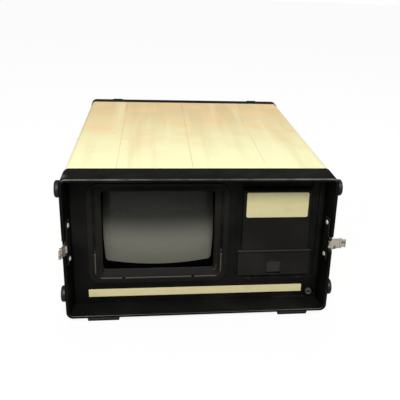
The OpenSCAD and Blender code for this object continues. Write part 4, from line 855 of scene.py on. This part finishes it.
def ended(tree, shape, finish):
    """Makes a shape's copies real, sets their finish and links them to the tree's output."""
    whole = result(tree, "GeometryNodeRealizeInstances", {0: shape})
    wires = {"Geometry": whole, "Material": finish}
    add_node(tree, "NodeGroupOutput", {0: result(tree, "GeometryNodeSetMaterial", wires)})
    return tree


def scatter_tree():
    """Puts a fastener on each point, facing the point's way and turned at random."""
    inputs = [("Points", "Geometry"), ("Fastener", "Object"), ("Largest turn", "Float")]
    tree = new_tree("fastener_scatter", inputs + [("Seed", "Int"), ("Finish", "Material")])
    given = add_node(tree, "NodeGroupInput").outputs
    wires = {"Name": "facing"}
    facing = result(tree, "GeometryNodeInputNamedAttribute", wires, data_type="FLOAT_VECTOR")
    aimed = result(tree, "FunctionNodeAlignRotationToVector", {"Vector": facing}, axis="Z")
    wires = {2: 0.0, 3: given["Largest turn"], "Seed": given["Seed"]}
    turn = add_node(tree, "FunctionNodeRandomValue", wires, data_type="FLOAT").outputs[1]
    spin = result(tree, "FunctionNodeAxisAngleToRotation", {"Axis": (0, 0, 1), "Angle": turn})
    wires = {0: aimed, 1: spin}
    both = result(tree, "FunctionNodeRotateRotation", wires, rotation_space="LOCAL")
    wires = {"Object": given["Fastener"]}
    copy = add_node(tree, "GeometryNodeObjectInfo", wires).outputs["Geometry"]
    wires = {"Points": given["Points"], "Instance": copy, "Rotation": both}
    return ended(tree, result(tree, "GeometryNodeInstanceOnPoints", wires), given["Finish"])


def guard_tree():
    """Wire rings one inside the other, held by two crossed spokes."""
    inputs = [("Rings", "Int"), ("First radius", "Float"), ("Last radius", "Float")]
    inputs += [("Wire", "Float"), ("Spoke", "Float"), ("Place", "Vector"), ("Finish", "Material")]
    tree = new_tree("fan_guard_wires", inputs)
    given = add_node(tree, "NodeGroupInput").outputs

    def maths(kind, first, second, third=0.0):
        wires = {0: first, 1: second, 2: third}
        return result(tree, "ShaderNodeMath", wires, operation=kind)

    def points(count):
        wires = {"Count": count, "Offset": (0, 0, 0)}
        return result(tree, "GeometryNodeMeshLine", wires, mode="OFFSET")

    index = result(tree, "GeometryNodeInputIndex")
    last = maths("SUBTRACT", given["Rings"], 1.0)
    wires = {0: index, 1: 0.0, 2: last, 3: given["First radius"], 4: given["Last radius"]}
    radius = result(tree, "ShaderNodeMapRange", wires, clamp=False)
    wires = {"Resolution": 56, "Radius": 1.0}
    hoop = result(tree, "GeometryNodeCurvePrimitiveCircle", wires)
    wires = {"Points": points(given["Rings"]), "Instance": hoop, "Scale": radius}
    rings = result(tree, "GeometryNodeInstanceOnPoints", wires)
    lift = maths("MULTIPLY", given["Wire"], 0.7)
    back = maths("MULTIPLY", given["Spoke"], -1.0)
    ends = [result(tree, "ShaderNodeCombineXYZ", {0: x, 2: lift}) for x in (back, given["Spoke"])]
    rod = result(tree, "GeometryNodeCurvePrimitiveLine", {"Start": ends[0], "End": ends[1]})
    angle = maths("MULTIPLY_ADD", index, math.pi / 2, math.pi / 4)
    turn = result(tree, "ShaderNodeCombineXYZ", {2: angle})
    wires = {"Points": points(2), "Instance": rod, "Rotation": turn}
    spokes = result(tree, "GeometryNodeInstanceOnPoints", wires)
    joined = add_node(tree, "GeometryNodeJoinGeometry")
    for shape in (rings, spokes):
        tree.links.new(shape, joined.inputs[0])
    lines = result(tree, "GeometryNodeRealizeInstances", {0: joined.outputs[0]})
    wires = {"Resolution": 10, "Radius": maths("MULTIPLY", given["Wire"], 0.5)}
    thick = result(tree, "GeometryNodeCurvePrimitiveCircle", wires)
    wires = {"Curve": lines, "Profile Curve": thick, "Fill Caps": True}
    tubes = result(tree, "GeometryNodeCurveToMesh", wires)
    wires = {"Geometry": tubes, "Translation": given["Place"], "Rotation": (-math.pi / 2, 0, 0)}
    return ended(tree, result(tree, "GeometryNodeTransform", wires), given["Finish"])


TREES = {}


def grown(name, maker, mesh, **values):
    """Runs a geometry node tree on a mesh and returns the plain result."""
    if maker not in TREES:
        TREES[maker] = maker()
    tree = TREES[maker]
    holder = placed(name, mesh)
    modifier = holder.modifiers.new(name, "NODES")
    modifier.node_group = tree
    for item in tree.interface.items_tree:
        key = item.name.replace(" ", "_").lower()
        if item.in_out == "INPUT" and key in values:
            modifier[item.identifier] = values[key]
    holder.update_tag()
    finished = plain(holder, name)
    if not finished.polygons:
        raise RuntimeError(f"{name} came out empty")
    return finished


def scattered(name, template, places, node, turn=math.tau, seed=3, look=None):
    """Copies of a fastener at these places, in place of a CAD node."""
    points = bpy.data.meshes.new(name + "_points")
    points.from_pydata([tuple(place) for place, facing in places], [], [])
    facings = points.attributes.new("facing", "FLOAT_VECTOR", "POINT")
    for item, (place, facing) in zip(facings.data, places):
        item.vector = facing
    sample = placed(name + "_sample", template)
    values = {"largest_turn": turn, "seed": seed, "finish": finish_of(look or SLOTS[node])}
    mesh = grown(name, scatter_tree, points, fastener=sample, **values)
    bpy.data.objects.remove(sample)
    return piece(name, mesh, BODIES[node], SLOTS[node], node)


def carried(*nodes):
    """CAD nodes shown as they are, in their slot's finish."""
    for node in nodes:
        mesh = frame["nodes"][node].data
        mesh.materials.clear()
        mesh.materials.append(finish_of(SLOTS[node]))


# Stage

ROOM_LIGHT = 0.10
FLOOR_HALF = 9.0
FLOOR_GLOW = 0.88
LAMP_AIM = Vector((0.0, -0.02, 0.12))
# Name, kind, size (an angle for the sun), strength and place from the aim
LAMPS = (
    ("key", "SUN", math.radians(19.0), 2.75, Vector((0.1, -1.34, 1.48))),
    ("front_fill", "AREA", 1.0, 8.5, Vector((-0.35, -1.45, 0.75))),
    ("left_fill", "AREA", 1.2, 8.0, Vector((-2.1, 0.25, 1.1))),
    ("right_fill", "AREA", 1.2, 8.0, Vector((2.1, 0.3, 1.1))),
    ("back_fill", "AREA", 1.2, 8.0, Vector((0.2, 1.3, 2.0))),
)

# Camera solved from the case's edges: place in metres, angles in degrees, the rest in pixels
CAMERA_PLACE = (-0.08215, -1.148875, 0.569)
CAMERA_TURN = (-8.6306, 20.8888, 2.7737)
CAMERA_FOCAL = 602.22
CAMERA_MIDDLE = (239.92, 191.56)
PICTURE = 400
SENSOR = 36.0


class LUG_OT_stage(bpy.types.Operator):
    """Sets the floor, the studio light and the camera."""

    bl_idname = "lug.stage"
    bl_label = "Stage"

    def execute(self, context):
        scene = context.scene
        scene.view_settings.view_transform = "Standard"
        self.make_floor(scene)
        self.make_room(scene)
        self.make_lamps(scene)
        self.make_camera(scene)
        return {"FINISHED"}

    def make_floor(self, scene):
        """A pale floor that shows white and keeps the object's shadow."""
        mesh = bpy.data.meshes.new("floor")
        half = FLOOR_HALF
        corners = [(-half, -half, 0), (half, -half, 0), (half, half, 0), (-half, half, 0)]
        mesh.from_pydata(corners, [], [(0, 1, 2, 3)])
        floor = placed("floor", mesh)
        f = Finish("floor_pale")
        path = f.add("ShaderNodeLightPath").outputs["Is Camera Ray"]
        colour = f.mix(path, (0.3, 0.3, 0.3), (0.93, 0.93, 0.93))
        f.finish(colour, 0.9, None, specular_ior_level=0.0)
        glow = f.add("ShaderNodeEmission", {"Color": (1, 1, 1, 1), "Strength": 1.0})
        wires = {0: f.product(path, FLOOR_GLOW), 1: f.shader.outputs[0], 2: glow.outputs[0]}
        both = f.add("ShaderNodeMixShader", wires)
        f.tree.links.new(both.outputs[0], f.tree.nodes["Material Output"].inputs["Surface"])
        mesh.materials.append(f.material)

    def make_room(self, scene):
        """White backdrop in sight, and a plain, darker room overhead and behind the camera."""
        world = bpy.data.worlds.new("studio")
        world.use_nodes = True
        scene.world = world
        tree = world.node_tree
        back = tree.nodes["Background"]
        path = add_node(tree, "ShaderNodeLightPath").outputs
        place = add_node(tree, "ShaderNodeTexCoord").outputs["Generated"]
        split = add_node(tree, "ShaderNodeSeparateXYZ", {0: place}).outputs

        def span(value, *ends):
            wires = {0: value, **dict(enumerate(ends, 1))}
            return result(tree, "ShaderNodeMapRange", wires)

        def maths(kind, first, second):
            return result(tree, "ShaderNodeMath", {0: first, 1: second}, operation=kind)

        high = span(split["Z"], 0.15, 0.6, 0.28, 0.05)
        front = span(split["Y"], -0.6, 0.1, 0.25, 1.0)
        gloss = maths("SUBTRACT", maths("MULTIPLY", high, front), ROOM_LIGHT)
        mirror = maths("MAXIMUM", path["Is Glossy Ray"], path["Is Transmission Ray"])
        lit = maths("ADD", maths("MULTIPLY", mirror, gloss), ROOM_LIGHT)
        seen = path["Is Camera Ray"]
        level = maths("ADD", maths("MULTIPLY", lit, maths("SUBTRACT", 1.0, seen)), seen)
        tree.links.new(level, back.inputs["Strength"])
        back.inputs["Color"].default_value = (1, 1, 1, 1)

    def make_lamps(self, scene):
        """A soft sun over the front, and a weaker lamp at each side and behind."""
        for name, kind, size, strength, away in LAMPS:
            data = bpy.data.lights.new(name, kind)
            if kind == "SUN":
                data.angle = size
            else:
                data.shape = "SQUARE"
                data.size = size
            data.energy = strength
            turn = away.to_track_quat("Z", "Y").to_matrix().to_4x4()
            placed(name, data).matrix_world = Matrix.Translation(LAMP_AIM + away) @ turn

    def make_camera(self, scene):
        """The photograph's camera, solved from the case's edges."""
        yaw, pitch, roll = (math.radians(a) for a in CAMERA_TURN)
        level = Vector((-math.sin(yaw), math.cos(yaw), 0.0))
        ahead = level * math.cos(pitch) - Vector((0.0, 0.0, math.sin(pitch)))
        right = Vector((math.cos(yaw), math.sin(yaw), 0.0))
        up = right.cross(ahead)
        across = right * math.cos(roll) + up * math.sin(roll)
        upward = up * math.cos(roll) - right * math.sin(roll)
        turn = Matrix((across, upward, -ahead)).transposed().to_4x4()
        data = bpy.data.cameras.new("camera")
        data.sensor_fit = "HORIZONTAL"
        data.sensor_width = SENSOR
        data.lens = CAMERA_FOCAL / PICTURE * SENSOR
        data.shift_x = (PICTURE / 2 - CAMERA_MIDDLE[0]) / PICTURE
        data.shift_y = (CAMERA_MIDDLE[1] - PICTURE / 2) / PICTURE
        data.clip_start = 0.05
        data.clip_end = 50.0
        camera = placed("camera", data)
        camera.matrix_world = Matrix.Translation(CAMERA_PLACE) @ turn
        scene.camera = camera


class LUG_OT_covers(bpy.types.Operator):
    """Rounds and paints the two covers."""

    bl_idname = "lug.covers"
    bl_label = "Covers"

    def execute(self, context):
        for node in ("top_cover", "bottom_cover"):
            dressed(node, sizes().metal_edge)
        return {"FINISHED"}


class LUG_OT_frames(bpy.types.Operator):
    """Rounds and finishes the end frames."""

    bl_idname = "lug.frames"
    bl_label = "End frames"

    def execute(self, context):
        for node in ("front_frame", "rear_frame"):
            dressed(node, sizes().case_edge)
        return {"FINISHED"}


class LUG_OT_panel(bpy.types.Operator):
    """Rounds and finishes the front panel, the trim strip and the knob."""

    bl_idname = "lug.panel"
    bl_label = "Front panel"

    def execute(self, context):
        # The front panel takes the darker recess colour as painted shade
        dressed("front_panel", sizes().panel_edge, finish="panel_dark")
        dressed("trim_strip", sizes().metal_edge)
        dressed("brightness_knob", sizes().metal_edge)
        return {"FINISHED"}


class LUG_OT_screen(bpy.types.Operator):
    """Rounds and finishes the bezel and the picture tube."""

    bl_idname = "lug.screen"
    bl_label = "Screen"

    def execute(self, context):
        bezel = dressed("screen_bezel", sizes().panel_edge, finish="bezel_black").data
        # The bezel's collar behind its throat takes a near-black painted shade
        bezel.materials.append(finish_of("collar_black"))
        throat = spot(0, THROAT_Y, 0).y
        for face in bezel.polygons:
            face.material_index = 1 if face.center.y > throat else 0
        dressed("picture_tube", sizes().panel_edge)
        return {"FINISHED"}


class LUG_OT_bay(bpy.types.Operator):
    """Makes the flap with its finger scoop, and finishes the disk bay."""

    bl_idname = "lug.bay"
    bl_label = "Disk bay"

    def execute(self, context):
        dressed("bay_panel", sizes().panel_edge)
        dressed("name_plate", sizes().metal_edge)
        node = "drive_flap"
        mesh = softened(node + "_dressed", self.flap, 0.6 * sizes().panel_edge)
        mesh.materials.clear()
        mesh.materials.append(finish_of("flap_black"))
        piece(mesh.name, mesh, BODIES[node], SLOTS[node], node)
        return {"FINISHED"}

    def flap(self, gap):
        """The CAD flap with its round scoop filled, and a sloping one cut over a slot."""
        s = sizes()
        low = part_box("drive_flap")[0]
        mid = centre("drive_flap").x
        face = low.y + 0.0018
        back = face + 0.0032
        foot = low.z + 0.0034
        past = 0.004
        half = 0.0145
        fill = block((mid - half, face, low.z + 0.0012), (mid + half, back, low.z + 0.0305))
        filled = combined(welded("drive_flap", gap), fill, "UNION")
        outline = round_outline(s.scoop_w, s.scoop_h, s.scoop_r)
        lift = foot + s.scoop_h / 2
        slope = 0.085
        rings = [[(mid + x, face - past, lift + z) for x, z in outline]]
        rings.append(
            [(mid + x, face + 0.0004 + (s.scoop_h / 2 - z) * slope, lift + z) for x, z in outline]
        )
        cut = combined(filled, lofted(rings), "DIFFERENCE")
        slot = round_outline(s.scoop_w + 0.002, 0.0028, 0.00138)
        rings = [[(mid + x, y, foot + z) for x, z in slot] for y in (face - past, back + past)]
        return combined(cut, lofted(rings), "DIFFERENCE")


def outward(place):
    """Direction from the object's middle to the side that a place is on."""
    return Vector((math.copysign(1.0, place.x - HOME.x), 0, 0))


class LUG_OT_latches(bpy.types.Operator):
    """Rounds and finishes the draw latches and sets their tubular rivets."""

    bl_idname = "lug.latches"
    bl_label = "Latches"

    def execute(self, context):
        for side in ("left", "right"):
            dressed("latch_base_" + side, sizes().metal_edge, finish="latch_black")
            dressed("latch_lever_" + side, sizes().metal_edge)
            dressed("latch_claw_" + side, sizes().metal_edge)
        bore, head = sizes().rivet_bore / MM, sizes().rivet_head / MM
        long, under, shank = 10.3, 1.55, 2.35
        profile = [(bore, -long), (bore, -0.5), (bore + 0.35, -0.12), (bore + 0.9, 0.0)]
        profile += [(head - 0.9, -0.35), (head - 0.25, -0.85), (head, -1.4)]
        profile += [(head - 0.15, -under), (shank, -under), (shank, -long)]
        places = fasteners("latch_rivets", lambda mid: -outward(mid))
        rivet = turned("rivet", profile, closed=True)
        scattered("latch_rivets_rolled", rivet, places, "latch_rivets", look="rivet_bright")
        return {"FINISHED"}


def at_front(place):
    """Whether a place is on the front frame."""
    return place.y < HOME.y + 0.1


class LUG_OT_rubber(bpy.types.Operator):
    """Finishes the feet, the posts and the front bumpers with their screws.

    The frame also has rear bumpers and screws, which aren't shown.
    """

    bl_idname = "lug.rubber"
    bl_label = "Rubber pieces"

    def execute(self, context):
        for node in ("left_bumpers", "right_bumpers"):
            dressed(node, sizes().rubber_edge, keep=at_front)
        for node in ("front_feet", "back_feet", "rear_posts"):
            dressed(node, sizes().rubber_edge)
        places = [found for found in fasteners("bumper_screws", outward) if at_front(found[0])]
        form = screw("bumper_screw", 3.98, 2.6, 10.6)
        scattered("bumper_screws_slotted", form, places, "bumper_screws")
        return {"FINISHED"}


class LUG_OT_handle(bpy.types.Operator):
    """Rounds and finishes the carrying handle and its brackets."""

    bl_idname = "lug.handle"
    bl_label = "Handle"

    def execute(self, context):
        dressed("handle", sizes().panel_edge)
        dressed("handle_brackets", sizes().panel_edge)
        return {"FINISHED"}


class LUG_OT_back(bpy.types.Operator):
    """Finishes the back panel, its screws and the fan's wire guard."""

    bl_idname = "lug.back"
    bl_label = "Back panel"

    def execute(self, context):
        s = sizes()
        for node in ("mains_inlet", "power_rocker"):
            dressed(node, s.metal_edge)
        rear = Vector((0, 1, 0))
        form = screw("panel_screw", 3.78, 2.45, 12.0)
        places = fasteners("panel_screws", lambda mid: rear)
        scattered("panel_screws_slotted", form, places, "panel_screws")
        node, name = "fan_guard", "fan_guard_wires"
        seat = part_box(node)[0].y
        mid = centre(node)
        mid.y = seat + s.guard_wire / 2
        values = {"rings": s.guard_rings, "first_radius": s.guard_first, "wire": s.guard_wire}
        values.update(last_radius=s.guard_last, spoke=0.048, place=mid, finish=finish_of(SLOTS[node]))
        mesh = grown(name, guard_tree, bpy.data.meshes.new(name), **values)
        for face in mesh.polygons:
            face.use_smooth = True
        piece(name, mesh, BODIES[node], SLOTS[node], node)
        profile = [(2.2, -2.3), (2.2, -0.2), (2.5, 0.0), (4.1, 0.0), (4.5, -0.3), (4.5, -2.3)]
        reach = 0.03575
        corners = [(sx * reach, sz * reach) for sx in (-1, 1) for sz in (-1, 1)]
        top = seat + s.guard_wire * 1.2
        places = [(Vector((mid.x + x, top, mid.z + z)), rear) for x, z in corners]
        scattered("fan_guard_eyes", turned("eye", profile, closed=True), places, node)
        return {"FINISHED"}


class LUG_OT_rest(bpy.types.Operator):
    """Finishes the pieces that keep their CAD form."""

    bl_idname = "lug.rest"
    bl_label = "Other pieces"

    def execute(self, context):
        done = set()
        for shown in bpy.data.objects:
            done.update(shown.get("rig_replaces", []))
        carried(*[node for node in frame["nodes"] if node not in done])
        return {"FINISHED"}


class LUG_PT_panel(bpy.types.Panel):
    """Lists the steps, the sizes and the colours."""

    bl_idname = "LUG_PT_panel"
    bl_label = "Luggable computer"
    bl_space_type = "VIEW_3D"
    bl_region_type = "UI"
    bl_category = "Luggable"

    def draw(self, context):
        for step in STEPS:
            self.layout.operator(step.bl_idname)
        for settings in (context.scene.lug_sizes, context.scene.lug_colours):
            box = self.layout.box()
            for key in settings.__annotations__:
                box.prop(settings, key)


STEPS = (
    LUG_OT_stage,
    LUG_OT_covers,
    LUG_OT_frames,
    LUG_OT_panel,
    LUG_OT_screen,
    LUG_OT_bay,
    LUG_OT_latches,
    LUG_OT_rubber,
    LUG_OT_handle,
    LUG_OT_back,
    LUG_OT_rest,
)
CLASSES = (LUG_SizeSettings, LUG_ColourSettings, *STEPS, LUG_PT_panel)


def register():
    for kind in CLASSES:
        bpy.utils.register_class(kind)
    bpy.types.Scene.lug_sizes = PointerProperty(type=LUG_SizeSettings)
    bpy.types.Scene.lug_colours = PointerProperty(type=LUG_ColourSettings)


def unregister():
    del bpy.types.Scene.lug_colours
    del bpy.types.Scene.lug_sizes
    for kind in reversed(CLASSES):
        bpy.utils.unregister_class(kind)


def main():
    register()
    for step in STEPS:
        group, name = step.bl_idname.split(".")
        getattr(getattr(bpy.ops, group), name)()


if __name__ == "__main__":
    main()
